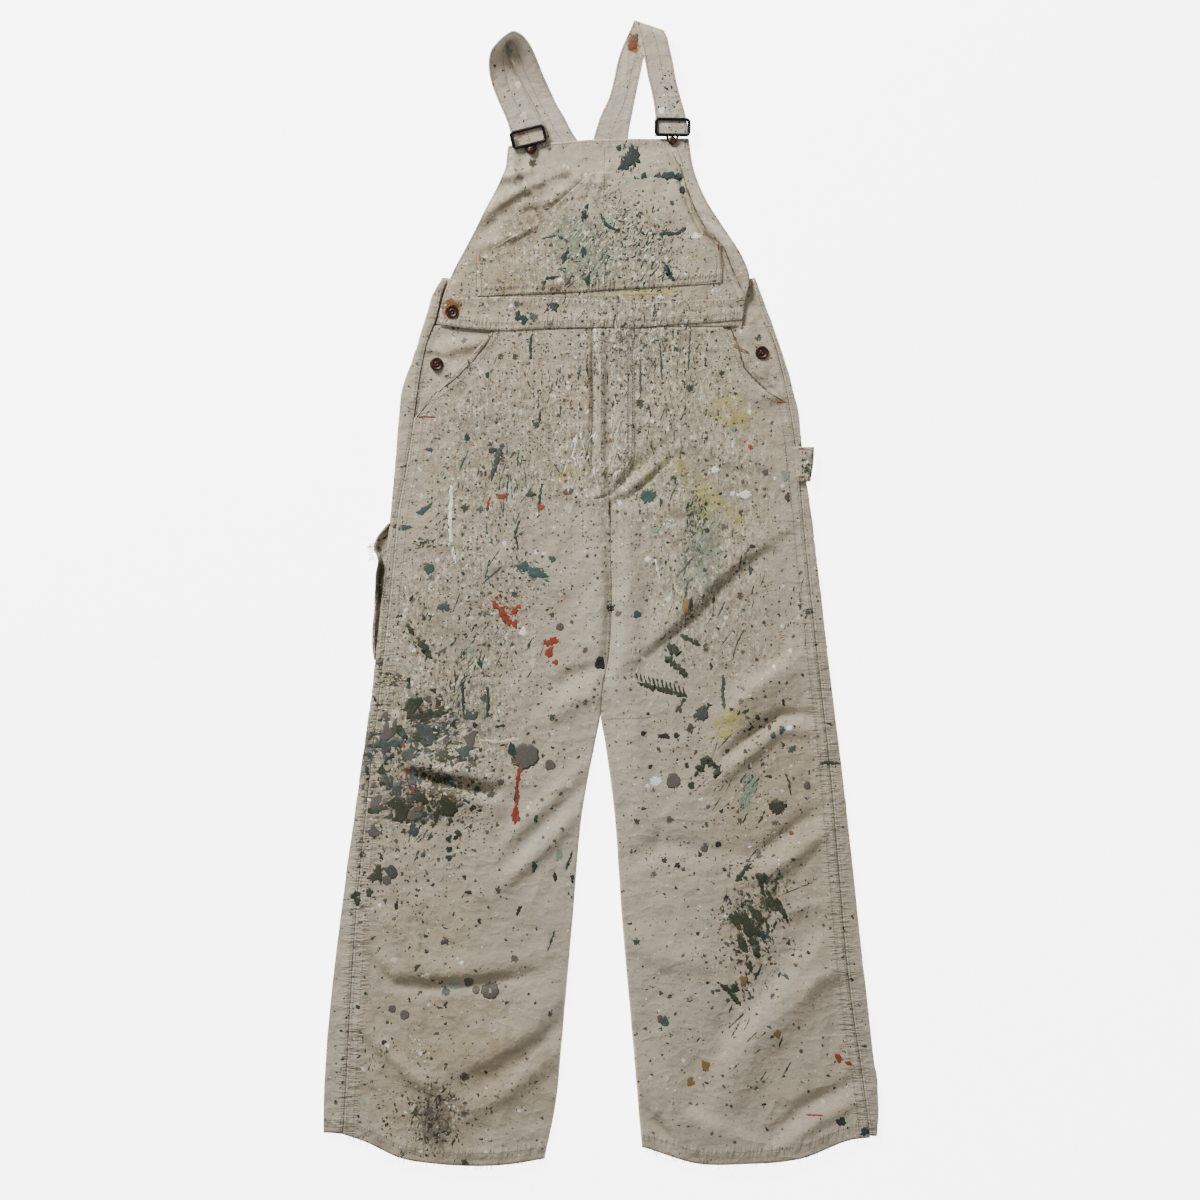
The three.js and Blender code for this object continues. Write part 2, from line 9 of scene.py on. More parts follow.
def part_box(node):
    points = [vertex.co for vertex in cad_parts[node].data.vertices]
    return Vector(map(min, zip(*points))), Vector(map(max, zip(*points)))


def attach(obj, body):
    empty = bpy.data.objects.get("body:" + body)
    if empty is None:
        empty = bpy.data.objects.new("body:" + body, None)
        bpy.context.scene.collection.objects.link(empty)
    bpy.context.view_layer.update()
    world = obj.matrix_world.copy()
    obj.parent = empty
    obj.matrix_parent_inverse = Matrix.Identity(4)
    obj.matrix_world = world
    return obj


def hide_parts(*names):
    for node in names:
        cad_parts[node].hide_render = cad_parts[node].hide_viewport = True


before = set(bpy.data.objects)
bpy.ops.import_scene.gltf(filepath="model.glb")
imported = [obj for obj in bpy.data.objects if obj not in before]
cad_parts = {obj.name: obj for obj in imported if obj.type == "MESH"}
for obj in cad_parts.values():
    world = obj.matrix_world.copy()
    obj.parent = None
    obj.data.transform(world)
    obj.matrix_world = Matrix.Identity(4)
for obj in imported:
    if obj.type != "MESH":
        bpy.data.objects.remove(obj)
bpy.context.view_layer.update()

# The lie of the garment. It is laid face up, so each leg is a flat back panel whose outer side comes
# round to the front, and a front panel on it. Sizes are in millimetres, +Y towards the straps, +X
# towards the wearer's left leg.
def smooth(pairs):
    """A line through (place, value) pairs: cubics, with each pair's slope the mean of its two sides."""
    at, value = np.array(pairs, float).T
    slope = np.gradient(value, at)

    def line(x):
        x = np.clip(x, at[0], at[-1])
        i = np.clip(np.searchsorted(at, x, side="right") - 1, 0, len(at) - 2)
        h = at[i + 1] - at[i]
        t = (x - at[i]) / h
        start = value[i] * (1 + 2 * t) * (1 - t) ** 2 + slope[i] * h * t * (1 - t) ** 2
        return start + value[i + 1] * t * t * (3 - 2 * t) + slope[i + 1] * h * t * t * (t - 1)

    return line


def ease(low, high, x):
    """0 below low, 1 above high, and a soft step between."""
    t = np.clip((x - low) / (high - low), 0, 1)
    return t * t * (3 - 2 * t)


SIDES = {
    "right": dict(
        out=-1,
        edge=smooth([(-656, -341), (-620, -341), (-547, -337), (-400, -321), (-254, -301), (-107, -280),
                     (-34, -272), (39, -264), (112, -257), (204, -250), (240, -247), (295, -229), (340, -215),
                     (368, -206), (383, -197)]),
        seam=smooth([(-658, -314), (-533, -307), (-400, -299), (-254, -285), (-132, -271), (25, -254),
                     (106, -246), (152, -237), (224, -226), (277, -218), (307, -211), (336, -200),
                     (363, -194), (383, -186)]),
        inner=smooth([(-690, -69), (-620, -55), (-547, -48), (-400, -35), (-254, -21), (-181, -7), (-150, -1),
                      (-118, 2), (-74, 10), (-22, 13), (50, 12), (112, 10), (160, 5), (323, 4)]),
        hem=smooth([(0, -660), (0.1, -668), (0.28, -688), (0.48, -696), (0.88, -695), (1, -690)]),
        mouth=((-228, 212), (-127, 323)),
    ),
    "left": dict(
        out=1,
        edge=smooth([(-662, 339), (-630, 341), (-547, 333), (-400, 317), (-254, 301), (-107, 283), (39, 266),
                     (112, 256), (167, 248), (222, 243), (259, 234), (332, 210), (368, 197), (389, 189)]),
        seam=smooth([(-664, 328), (-571, 316), (-520, 308), (-456, 300), (-354, 291), (-215, 279), (-62, 262),
                     (81, 247), (147, 241), (200, 234), (254, 224), (307, 210), (346, 193), (389, 183)]),
        inner=smooth([(-675, 50), (-547, 39), (-400, 26), (-254, 15), (-181, 5), (-150, 0), (-118, 2),
                      (-74, 10), (-22, 13), (50, 12), (112, 10), (160, 5), (323, 4)]),
        hem=smooth([(0, -664), (0.07, -666), (0.3, -689), (0.57, -696), (0.75, -696), (1, -676)]),
        mouth=((228, 232), (148, 323)),
    ),
}

# Creases of the cloth: path, height (a trough is negative), and how wide it is on its left and its
# right as the path runs. A narrow side is the steep one.
CREASES = [
    # the wearer's left leg
    (((81, 174), (41, 143), (15, 113)), -3.0, 9, 12),
    (((226, 81), (170, 41), (144, 20), (122, -5), (100, -27), (60, -62), (32, -85)), 3.6, 7, 26),
    (((200, 52), (164, 28), (138, 4), (112, -27), (92, -46), (56, -78)), -1.6, 14, 4),
    (((245, -80), (185, -118), (148, -158)), 5.0, 26, 10),
    (((257, -150), (217, -150), (185, -172), (148, -204)), -5.5, 10, 8),
    (((262, -168), (217, -166), (180, -196), (140, -232)), 4.0, 8, 24),
    (((270, -262), (217, -302), (180, -325)), -4.5, 16, 10),
    (((278, -285), (228, -325), (190, -348)), 4.0, 10, 26),
    (((23, -335), (77, -307), (123, -312), (190, -323)), -3.0, 18, 14),
    (((29, -415), (76, -446), (135, -455)), 3.0, 20, 16),
    (((289, -417), (229, -500), (178, -558), (143, -640)), 4.5, 26, 30),
    (((262, -400), (200, -480), (150, -545), (110, -620)), -3.0, 16, 22),
    (((40, -553), (71, -597), (101, -637), (199, -674)), 4.5, 12, 24),
    (((48, -623), (75, -655), (95, -680)), -3.0, 8, 10),
    (((317, -594), (255, -623), (204, -666)), -3.5, 14, 10),
    (((322, -615), (268, -640), (225, -672)), 3.0, 8, 16),
    (((299, -455), (262, -470), (240, -500)), 2.5, 10, 8),
    (((285, -385), (250, -380), (215, -395)), 1.8, 8, 8),
    (((20, -60), (40, -160), (48, -250), (60, -330)), 2.5, 14, 18),
    (((4, 110), (30, 124), (56, 148), (84, 176)), 3.4, 5, 9),
    (((6, 104), (34, 117), (62, 140), (92, 168)), -2.6, 4, 4),
    (((22, 104), (31, 70), (34, 10), (29, -50), (18, -125)), 3.4, 18, 9),
    (((-10, 100), (-4, 60), (0, 0), (-2, -60), (-10, -120)), 3.0, 10, 18),
    (((3, 116), (9, 60), (12, -10), (8, -100)), -1.0, 4, 4),
    (((1, 330), (0, 240), (1, 160), (3, 112)), 2.8, 5, 8),
    (((-10, 326), (-10, 230), (-11, 160), (-7, 126)), -3.4, 3, 3),
    (((-4, 112), (-36, 118), (-78, 150)), 1.8, 10, 7),
    (((30, 95), (80, 105), (140, 120)), 1.4, 10, 12),
    # the wearer's right leg
    (((-235, -218), (-168, -236), (-130, -243)), -7.0, 6, 5),
    (((-240, -206), (-168, -222), (-120, -231)), 5.0, 22, 7),
    (((-240, -232), (-168, -250), (-120, -256)), 3.5, 7, 22),
    (((-14, -226), (-56, -270), (-124, -339)), -4.5, 11, 14),
    (((-10, -250), (-60, -300), (-130, -365)), 3.5, 10, 26),
    (((-12, -205), (-50, -243), (-118, -310)), 3.0, 22, 10),
    (((10, -84), (-38, -104), (-60, -122)), -2.5, 10, 10),
    (((10, -120), (-30, -132), (-70, -160)), 2.2, 10, 14),
    (((-279, -375), (-251, -409), (-231, -442)), 3.0, 10, 14),
    (((-290, -438), (-254, -479), (-223, -483), (-162, -479), (-70, -465)), -2.7, 9, 7),
    (((-290, -425), (-250, -462), (-160, -463), (-75, -450)), 2.7, 20, 9),
    (((-293, -500), (-290, -528), (-260, -558), (-223, -591), (-190, -612)), 4.5, 18, 9),
    (((-280, -500), (-275, -530), (-245, -560), (-205, -592)), -2.5, 9, 12),
    (((-290, -591), (-270, -630), (-257, -660)), -3.0, 9, 9),
    (((-40, -475), (-84, -533), (-137, -563), (-214, -595)), 4.0, 14, 28),
    (((-46, -551), (-111, -605), (-175, -645)), 4.0, 12, 22),
    (((-46, -520), (-100, -575), (-160, -606)), -2.5, 12, 14),
    (((-250, 20), (-200, -10), (-160, -60)), 1.6, 14, 18),
    (((-262, -60), (-225, -110), (-190, -130)), 1.8, 12, 14),
    (((-150, 60), (-90, 20), (-30, 0)), 1.6, 18, 22),
    (((-60, 110), (-40, 60), (-10, 20)), 1.6, 12, 16),
    # hips and seat
    (((-204, 298), (-161, 300), (-139, 306)), 2.6, 9, 7),
    (((-212, 282), (-175, 268), (-150, 240)), 1.8, 10, 10),
    (((-200, 235), (-160, 215), (-120, 220)), 1.5, 10, 12),
    (((150, 300), (178, 282), (205, 262)), 2.0, 8, 8),
    (((170, 250), (190, 236), (226, 240)), 1.8, 8, 8),
    (((120, 190), (165, 165), (215, 160)), 1.5, 12, 14),
    (((-205, 262), (-190, 246), (-182, 226)), 1.6, 4, 4), (((-178, 268), (-172, 240)), 1.4, 4, 4),
    (((-214, 300), (-190, 290), (-170, 292)), 1.4, 5, 4), (((180, 275), (196, 262), (212, 250)), 1.6, 4, 4),
    (((168, 262), (190, 246), (216, 236)), 1.6, 4, 4), (((150, 285), (160, 262), (172, 248)), 1.4, 4, 4),
    # bib
    (((-138, 502), (-105, 508), (-82, 514)), 2.8, 7, 5),
    (((-152, 448), (-122, 474), (-92, 492), (-60, 505)), 3.2, 9, 5),
    (((-150, 432), (-120, 456), (-85, 470), (-48, 488)), -1.6, 6, 6),
    (((-148, 418), (-110, 432), (-72, 452)), 2.6, 7, 6),
    (((-118, 452), (-92, 470), (-60, 478), (-30, 500)), 2.8, 7, 5),
    (((-108, 534), (-104, 515), (-100, 500)), 1.6, 5, 5),
    (((-88, 536), (-86, 516), (-84, 505)), 1.2, 4, 4),
    (((88, 534), (99, 514), (104, 495), (114, 468), (128, 442), (140, 430), (151, 418), (161, 392),
      (175, 364)), 5.2, 10, 3),
    (((84, 532), (95, 512), (99, 493), (109, 466), (123, 439), (136, 427), (147, 414), (156, 391),
      (168, 362)), -3.6, 3, 3.5),
    (((-114, 504), (-92, 492), (-73, 479)), 1.9, 4, 4),
    (((-128, 466), (-117, 446), (-112, 430)), 1.7, 4, 4),
    (((-62, 522), (-40, 506), (-18, 500)), 1.5, 4, 4),
    (((12, 522), (0, 500), (-8, 478)), 1.5, 4, 4),
    (((-30, 474), (-10, 456), (6, 430)), 1.4, 5, 4),
    (((-70, 455), (-52, 430), (-48, 412)), 1.4, 5, 4),
    (((-195, 382), (-186, 372), (-176, 352)), 1.5, 7, 7),
    (((176, 380), (182, 360), (188, 335)), 1.8, 6, 6),
    (((30, 470), (70, 462), (108, 456)), 1.0, 14, 14),
    (((-120, 395), (-60, 388), (10, 392)), 1.0, 12, 12),
]


def crease_height(x, y):
    """The sum of the creases at a place: each is a bell across its path, and dies away towards its ends."""
    total = np.zeros_like(x)
    for path, high, left, right in CREASES:
        path = np.array(path, float)
        step = np.diff(path, axis=0)
        length = np.hypot(*step.T)
        whole = length.sum()
        best = np.full(x.shape, np.inf)
        side = np.zeros_like(x)
        along = np.zeros_like(x)
        done = 0.0
        for a, d, n in zip(path, step, length):
            t = np.clip(((x - a[0]) * d[0] + (y - a[1]) * d[1]) / n**2, 0, 1)
            dx, dy = x - a[0] - t * d[0], y - a[1] - t * d[1]
            far = np.hypot(dx, dy)
            near = far < best
            best = np.where(near, far, best)
            side = np.where(near, d[0] * dy - d[1] * dx, side)
            along = np.where(near, (done + t * n) / whole, along)
            done += n
        wide = np.where(side > 0, left, right)
        taper = np.sin(np.pi * np.clip(along * 0.92 + 0.04, 0, 1)) ** 0.7
        total += high * taper * np.exp(-((best / wide) ** 2))
    return total


def crumple(x, y, size, seed):
    """Small uneven waves of about that length: sines in eight directions, each bent by the one before."""
    random = np.random.default_rng(seed)
    total = np.zeros_like(x)
    bend = np.zeros_like(x)
    for _ in range(8):
        angle, phase = random.uniform(0, 2 * np.pi, 2)
        wave = 2 * np.pi / (size * random.uniform(0.7, 1.5))
        bend = np.sin(wave * (x * np.cos(angle) + y * np.sin(angle)) + phase + 1.3 * bend)
        total += bend
    return total / 8


def side_share(x, y, side):
    """How far across a leg a place is, from 0 at the outer fold to 1 at its inner edge."""
    outer, inner = side["edge"](y), side["inner"](y)
    return np.clip((x - outer) / (inner - outer), 0, 1)


LEAST_HEIGHT, LEG_DOME, HIP_LIFT = 5.6, 2.6, 1.5
CREASE_GAIN, DEEPEST, HIGHEST = 1.75, -5.5, 10


def lie(x, y):
    """The height of the front cloth's upper face: a low dome over each leg, its creases and its crumple."""
    right, left = SIDES["right"], SIDES["left"]
    leg = np.where(x < right["inner"](y), side_share(x, y, right), side_share(x, y, left))
    hips = ease(60, 200, y)
    dome = LEG_DOME * np.sin(np.pi * leg) ** 0.7 * (1 - hips) + HIP_LIFT * hips
    small = 0.9 * crumple(x, y, 70, 3) + 0.35 * crumple(x, y, 26, 5)
    return LEAST_HEIGHT + dome + small + np.clip(CREASE_GAIN * crease_height(x, y), DEEPEST, HIGHEST)


# Canvas panels: each is a closed wall of cloth on a grid of points on its middle surface, rows from
# top to bottom and columns from left to right.
CANVAS_MM = 1.5
PUCKER_MM = 7
NO_SEAM = ("top", -99)
PANELS = []
COVERS = []


def store(mesh, label, values):
    """One number for each point of the grid, the same on both faces."""
    layer = mesh.attributes.new(label, "FLOAT", "POINT")
    layer.data.foreach_set("value", np.tile(values.ravel(), 2).astype(np.float32))


def put(name, data):
    """An object with that data, in the scene."""
    made = bpy.data.objects.new(name, data)
    bpy.context.scene.collection.objects.link(made)
    return made


def panel(name, points, thick=CANVAS_MM, seams=(), gather=1.0):
    """Both faces of the grid moved out by half the thickness along its normals, and a rim that joins them.

    Each seam is (border, distance in mm): a row of stitches that keeps that far from the border. Its signed
    distance is stored on the points for the canvas to draw, with a weight, gather, for the puckers beside it.
    """
    down, across = np.gradient(points, axis=0), np.gradient(points, axis=1)
    normal = np.cross(down, across)
    normal /= np.maximum(np.linalg.norm(normal, axis=2, keepdims=True), 1e-9)
    rows, columns = points.shape[:2]
    half = thick / 2
    cover = np.concatenate([(points + normal * half).reshape(-1, 3), (points - normal * half).reshape(-1, 3)])
    i, j = np.mgrid[0 : rows - 1, 0 : columns - 1]
    at = (i * columns + j).ravel()
    quads = np.stack([at, at + columns, at + columns + 1, at + 1], axis=1)
    count = rows * columns
    quads = np.concatenate([quads, quads[:, ::-1] + count])
    ring = np.concatenate([
        np.arange(rows - 1) * columns,
        (rows - 1) * columns + np.arange(columns - 1),
        np.arange(rows - 1, 0, -1) * columns + columns - 1,
        np.arange(columns - 1, 0, -1),
    ])
    following = np.roll(ring, -1)
    faces = np.concatenate([quads, np.stack([following, ring, ring + count, following + count], axis=1)])
    mesh = bpy.data.meshes.new(name + "_cloth")
    mesh.vertices.add(2 * count)
    mesh.vertices.foreach_set("co", (cover / 1000).ravel())
    mesh.loops.add(faces.size)
    mesh.loops.foreach_set("vertex_index", faces.ravel().astype(np.int32))
    mesh.polygons.add(len(faces))
    mesh.polygons.foreach_set("loop_start", np.arange(0, faces.size, 4, dtype=np.int32))
    mesh.update(calc_edges=True)
    mesh.polygons.foreach_set("use_smooth", np.ones(len(faces), bool))
    piece = put(name + "_cloth", mesh)
    away = {}
    for axis, first, last in ((0, "top", "bottom"), (1, "left", "right")):
        gaps = np.linalg.norm(np.diff(points, axis=axis), axis=2)
        away[first] = np.concatenate([np.zeros_like(gaps.take([0], axis)), np.cumsum(gaps, axis)], axis)
        away[last] = away[first].max(axis=axis, keepdims=True) - away[first]
    pucker = {"top": np.zeros((rows, columns)), "left": np.zeros((rows, columns))}
    for k in range(3):
        border, distance = seams[k] if k < len(seams) else NO_SEAM
        off = away[border] - distance
        store(mesh, "stitch_%d" % k, off)
        run = "top" if border in ("top", "bottom") else "left"
        pucker[run] = np.maximum(pucker[run], np.exp(-((off / PUCKER_MM) ** 2)))
    store(mesh, "pucker_across", gather * pucker["top"])
    store(mesh, "pucker_down", gather * pucker["left"] * (0.3 + 0.7 * ease(50, -150, points[:, :, 1])))
    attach(piece, "root")
    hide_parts(name)
    PANELS.append(piece)
    COVERS.append((cover, quads))


# Front legs: one panel each from the outseam to the centre seam. Below the fly the inner edge turns
# under and meets the back panel, so each leg ends in a soft fold. GAP is what neighbours keep between
# them, and ON_FLOOR is the middle of cloth that lies on the floor.
WAIST = 323
GAP = 0.25
ON_FLOOR = CANVAS_MM / 2
TURN_STEPS = 9
HIDDEN_HEM = 14


def front_limit(side, y):
    """The front leg's outer limit: the outseam, and above the pocket's foot the slanting pocket mouth."""
    (foot_x, foot_y), (head_x, head_y) = side["mouth"]
    slant = foot_x + (head_x - foot_x) * (y - foot_y) / (head_y - foot_y)
    return np.where(y <= foot_y, side["seam"](y) - side["out"] * GAP, slant)


def half_turn(center_x, out, top, bottom):
    """Points round the outside of a fold, from its upper layer down to its lower one."""
    angle = np.linspace(0, np.pi, TURN_STEPS + 2)[1:-1]
    radius = (top - bottom) / 2
    x = center_x[:, None] + out * radius[:, None] * np.sin(angle)
    z = (top + bottom)[:, None] / 2 + radius[:, None] * np.cos(angle)
    return x, z


for name, side in SIDES.items():
    out = side["out"]
    share = np.linspace(0, 1, 98)[None, :]
    run = np.linspace(0, 1, 290)[:, None]
    y = WAIST - GAP + (side["hem"](share) - WAIST + GAP) * run
    end_y = y[:, -1]
    tip = side["inner"](end_y) + out * GAP
    radius = (lie(tip + out * 4, end_y) - CANVAS_MM) / 2
    end_x = side["inner"](y) + out * (GAP + radius[:, None])
    x = front_limit(side, y) + (end_x - front_limit(side, y)) * share
    z = lie(x, y) - CANVAS_MM / 2
    tuck = (1 - ease(55, 112, end_y))[:, None]
    turn_x, turn_z = half_turn(tip + out * radius, -out, z[:, -1], np.full_like(end_y, ON_FLOOR))
    back = np.linspace(0, HIDDEN_HEM, 5)[None, :] * out
    turn_x = np.hstack([turn_x, (tip + out * radius)[:, None] + back])
    turn_z = np.hstack([turn_z, np.full((len(end_y), 5), ON_FLOOR)])
    straight = x[:, -1:] - out * radius[:, None] * np.linspace(0, 1, turn_x.shape[1] + 1)[None, 1:]
    x = np.hstack([x, straight + (turn_x - straight) * tuck])
    z = np.hstack([z, z[:, -1:] + (turn_z - z[:, -1:]) * tuck])
    y = np.hstack([y, np.repeat(end_y[:, None], turn_x.shape[1], axis=1)])
    grid = np.stack([x, y, z], axis=2)
    outer = "left" if out < 0 else "right"
    panel("front_leg_" + name, grid[:, ::-out],
          seams=(("bottom", 15), (outer, 3), (outer, 12)))


# Back legs: the panel lies on the floor from the inner edge out to the leg's outer fold, turns there
# and comes back over the front to the outseam.
def seat_lift(x, y):
    """How far the back panel is lifted by the tool pocket or the hammer loop that lies under it."""
    lift = 0
    for cx, cy, half in ((-262, 3, 102), (243, 141, 42)):
        along = 1 - ease(half, half + 30, np.abs(y - cy))
        lift = np.maximum(lift, along * (1 - ease(42, 72, np.abs(x - cx))))
    return 1.8 * lift


SEAT_TOP = 383
for name, side in SIDES.items():
    out = side["out"]
    run = np.linspace(0, 1, 300)[:, None]
    flat_share = np.concatenate([np.linspace(0, 0.66, 6), np.linspace(0.74, 1, 8)])[None, :]
    foot = side["hem"](1) + 4
    y = SEAT_TOP + (foot + (side["hem"](0) + 2 - foot) * flat_share - SEAT_TOP) * run
    tip_y = y[:, -1]
    tip = side["edge"](tip_y)
    low = ON_FLOOR + seat_lift(tip, tip_y)
    seam = side["seam"](tip_y) + out * GAP
    top = lie(seam, tip_y) - CANVAS_MM / 2 - 0.2
    radius = (top - low) / 2
    inner = side["inner"](y) + out * (0.3 + 9 * (1 - ease(45, 57, y))) + 1.8 * ease(45, 57, y)
    turn_start = tip - out * (radius + CANVAS_MM / 2)
    x = inner + (turn_start[:, None] - inner) * flat_share
    z = ON_FLOOR + seat_lift(x, y)
    turn_x, turn_z = half_turn(turn_start, out, low, top)
    strip_share = np.linspace(0, 1, 14)[None, :]
    width = np.maximum(out * (turn_start - seam), 1.0)[:, None]
    strip_x = turn_start[:, None] - out * width * strip_share
    strip_y = np.repeat(tip_y[:, None], 14, axis=1)
    swell = 0.7 * np.sin(np.pi * strip_share) * ease(2, 14, width)
    strip_z = top[:, None] + swell + (lie(strip_x, strip_y) - lie(strip_x[:, -1:], strip_y[:, -1:])) * 0.6
    x = np.hstack([x, turn_x, strip_x])
    z = np.hstack([z, turn_z, strip_z])
    y = np.hstack([y, np.repeat(tip_y[:, None], turn_x.shape[1], axis=1), strip_y])
    grid = np.stack([x, y, z], axis=2)
    panel("back_leg_" + name, grid[:, ::-out],
          seams=(("bottom", 15), ("right" if out < 0 else "left", 3)))

# The bib, and the high back that lies under it and carries the straps at its point.
BIB = dict(
    right=smooth([(323, -202), (342, -197), (360, -192), (387, -182), (423, -163), (460, -144), (497, -125),
                  (515, -117), (537, -114), (544, -113)]),
    left=smooth([(323, 172), (356, 176), (389, 180), (405, 174), (442, 151), (478, 128), (515, 113),
                 (553, 107)]),
)
share = np.linspace(0, 1, 200)[None, :]
run = np.linspace(0, 1, 88)[:, None]
top = 544 + 9 * share + 3.2 * np.sin(np.pi * share) ** 2
y = top + (WAIST + GAP - top) * run
x = BIB["right"](y) + (BIB["left"](y) - BIB["right"](y)) * share
edge_drop = (1.4 + 1.6 * (1 - ease(330, 372, y))) * (1 - ease(0, 0.05, np.minimum(share, 1 - share)))
z = lie(x, y) - edge_drop - CANVAS_MM / 2
panel("bib", np.stack([x, y, z], axis=2),
      seams=(("top", 3), ("left", 2.5), ("right", 2.5)), gather=0.6)

YOKE_TOP, YOKE_FOOT = 546, 383.3
share = np.linspace(0, 1, 40)[None, :]
run = np.linspace(0, 1, 36)[:, None]
yoke_right = smooth([(383, -184), (405, -165), (460, -120), (515, -85), (546, -78)])
yoke_left = smooth([(383, 178), (405, 160), (460, 108), (515, 55), (546, 33)])
y = np.broadcast_to(YOKE_TOP + (YOKE_FOOT - YOKE_TOP) * run, (36, 40))
x = yoke_right(y) + (yoke_left(y) - yoke_right(y)) * share
z = np.full_like(x, ON_FLOOR)
panel("back_yoke", np.stack([x, y, z], axis=2),
      seams=(("left", 3), ("right", 3), ("bottom", 3)))

# The bib pocket: a patch with two slanting openings. It stands a little off the bib, and its seams draw
# it down.
THIN_MM = 1.2
POCKET_LEFT, POCKET_RIGHT = -151, 148
side_x = np.array([-151, -116, -81, -46, -11, 13, 47, 80, 114, 148.0])
side_y = np.array([408, 428, 449, 480, 512, 512, 488, 465, 443, 422.0])
x = np.broadcast_to(np.linspace(POCKET_LEFT, POCKET_RIGHT, 120)[None, :], (60, 120))
top = np.interp(x[0], side_x, side_y)[None, :]
foot = 360.5 + 16.5 * ((x[:1] - POCKET_LEFT) / (POCKET_RIGHT - POCKET_LEFT)) ** 1.3
y = top + (foot - top) * np.linspace(0, 1, 60)[:, None]
rim = np.minimum.reduce([x - POCKET_LEFT, POCKET_RIGHT - x, y - foot, (top - y) * 0.8])
z = lie(x, y) + 0.35 + 0.9 * ease(0, 7, rim) - 0.5 * np.exp(-(((rim - 7) / 1.6) ** 2))
panel("bib_pocket", np.stack([x, y, z], axis=2), THIN_MM,
      seams=(("bottom", 2), ("bottom", 9), ("right", 2)))

# The waistband, with its lower edge on the tops of the legs. Its two ends dip to the sides of the bib,
# and its lower edge stands up a little from the cloth under it.
BAND_WIDTH = 375
share = np.linspace(0, 1, 150)[None, :]
low_line = smooth([(-202, 330), (-178, 326), (-130, 321.5), (-50, 324), (0, 325), (48, 325), (96, 329),
                   (135, 331), (176, 335)])
x = -200 + BAND_WIDTH * share
high = 357 + 3 * np.sin(2.2 * np.pi * share)
low = low_line(x) - 3
y = high + (low - high) * np.linspace(0, 1, 16)[:, None]
x = BIB["right"](y) + 0.5 + (BIB["left"](y) - BIB["right"](y) - 1) * share
ends = np.minimum(share, 1 - share) * BAND_WIDTH
z = lie(x, y) - 0.6 - 3.0 * (1 - ease(0, 19, ends)) + 0.75 * ease(0, 9, high - y) + 0.4 * ease(0, 4, y - low)
panel("waistband", np.stack([x, y, z], axis=2), THIN_MM,
      seams=(("bottom", 2.5), ("bottom", 9), ("top", 2.5)))

# The fly flap: straight down beside the centre seam, then rounded in to its foot. It is sewn down along
# its outer edge, and its opening edge stands up a little.
FLY_BEND, FLY_FOOT = 172, 114
y = np.broadcast_to(np.linspace(WAIST - 2, FLY_FOOT, 90)[:, None], (90, 26))
left = -9 + 4.5 * ease(FLY_FOOT, 170, y)
down = np.clip((FLY_BEND - y) / (FLY_BEND - FLY_FOOT), 0, 1)
right = left + 2 + 44 * np.sqrt(np.clip(1 - down**2, 0, 1))
x = left + (right - left) * np.linspace(0, 1, 26)[None, :]
z = lie(x, y) - 0.6 + 1.7 * ease(0, 3, x - left) * ease(-2, 11, right - x)
panel("fly_flap", np.stack([x, y, z], axis=2), THIN_MM,
      seams=(("right", 2), ("right", 8), ("left", 2)))

# Hip pocket facings: they show beyond the slanting pocket mouths, a layer below the fronts, and reach
# from under the front to just short of the outseam.
for name, side in SIDES.items():
    out = side["out"]
    y = np.broadcast_to(np.linspace(WAIST + 2, side["mouth"][0][1] - 6, 50)[:, None], (50, 34))
    near = front_limit(side, y) - out * 16
    far = side["seam"](y) - out * 0.3
    share = np.linspace(0, 1, 34)[None, :]
    x = far + (near - far) * share
    z = lie(x, y) - 3.2 + 1.2 * (1 - ease(0, 0.15, share))
    grid = np.stack([x, y, z], axis=2)
    panel("pocket_facing_" + name, grid[:, ::-out], THIN_MM,
          seams=(("left", 2), ("right", 2)))


# The tool pocket on the back of the right leg gapes at the side, and the hammer loop hangs off the left
# outseam.
def side_band(tip_line, y, start, top, landing, out):
    """A band that starts under the back panel, turns round at its tip and ends on top."""
    radius = (top - ON_FLOOR) / 2
    center = tip_line - out * (radius + CANVAS_MM / 2)
    turn_x, turn_z = half_turn(center, out, np.full_like(y, ON_FLOOR), top)
    share = np.linspace(0, 1, 8)[None, :]
    under_x = start + (center[:, None] - start) * share
    over_x = center[:, None] + (landing[:, None] - center[:, None]) * share
    x = np.hstack([under_x, turn_x, over_x])
    z = np.hstack([np.full_like(under_x, ON_FLOOR), turn_z, np.repeat(top[:, None], 8, axis=1)])
    return np.stack([x, np.repeat(y[:, None], x.shape[1], axis=1), z], axis=2)


y = np.linspace(84, -82, 110)
tip = smooth([(-82, -280), (-66, -282), (-20, -280.5), (20, -279), (43, -277), (53, -281), (60, -280),
              (67, -277), (84, -263)])(y)
top = 6.4 + 1.8 * ease(-60, 0, y) * (1 - ease(50, 84, y)) + 0.4 * np.sin(y / 5)
grid = side_band(tip, y, -232, top, np.minimum(tip + 6.5, SIDES["right"]["edge"](y) + 1.5), -1)
panel("tool_pocket", grid[:, ::-1], 1.4,
      seams=(("top", 12), ("left", 2), ("bottom", 2)))

y = np.linspace(177, 135, 40)
tip = smooth([(135, 260), (160, 264), (177, 264.5)])(y)
top = 9.6 + 0.8 * np.sin((y - 135) / 42 * np.pi)
grid = side_band(tip, y, 214, top, SIDES["left"]["seam"](y) - 4, 1)
panel("hammer_loop", grid, 1.6,
      seams=(("top", 4), ("bottom", 4)))


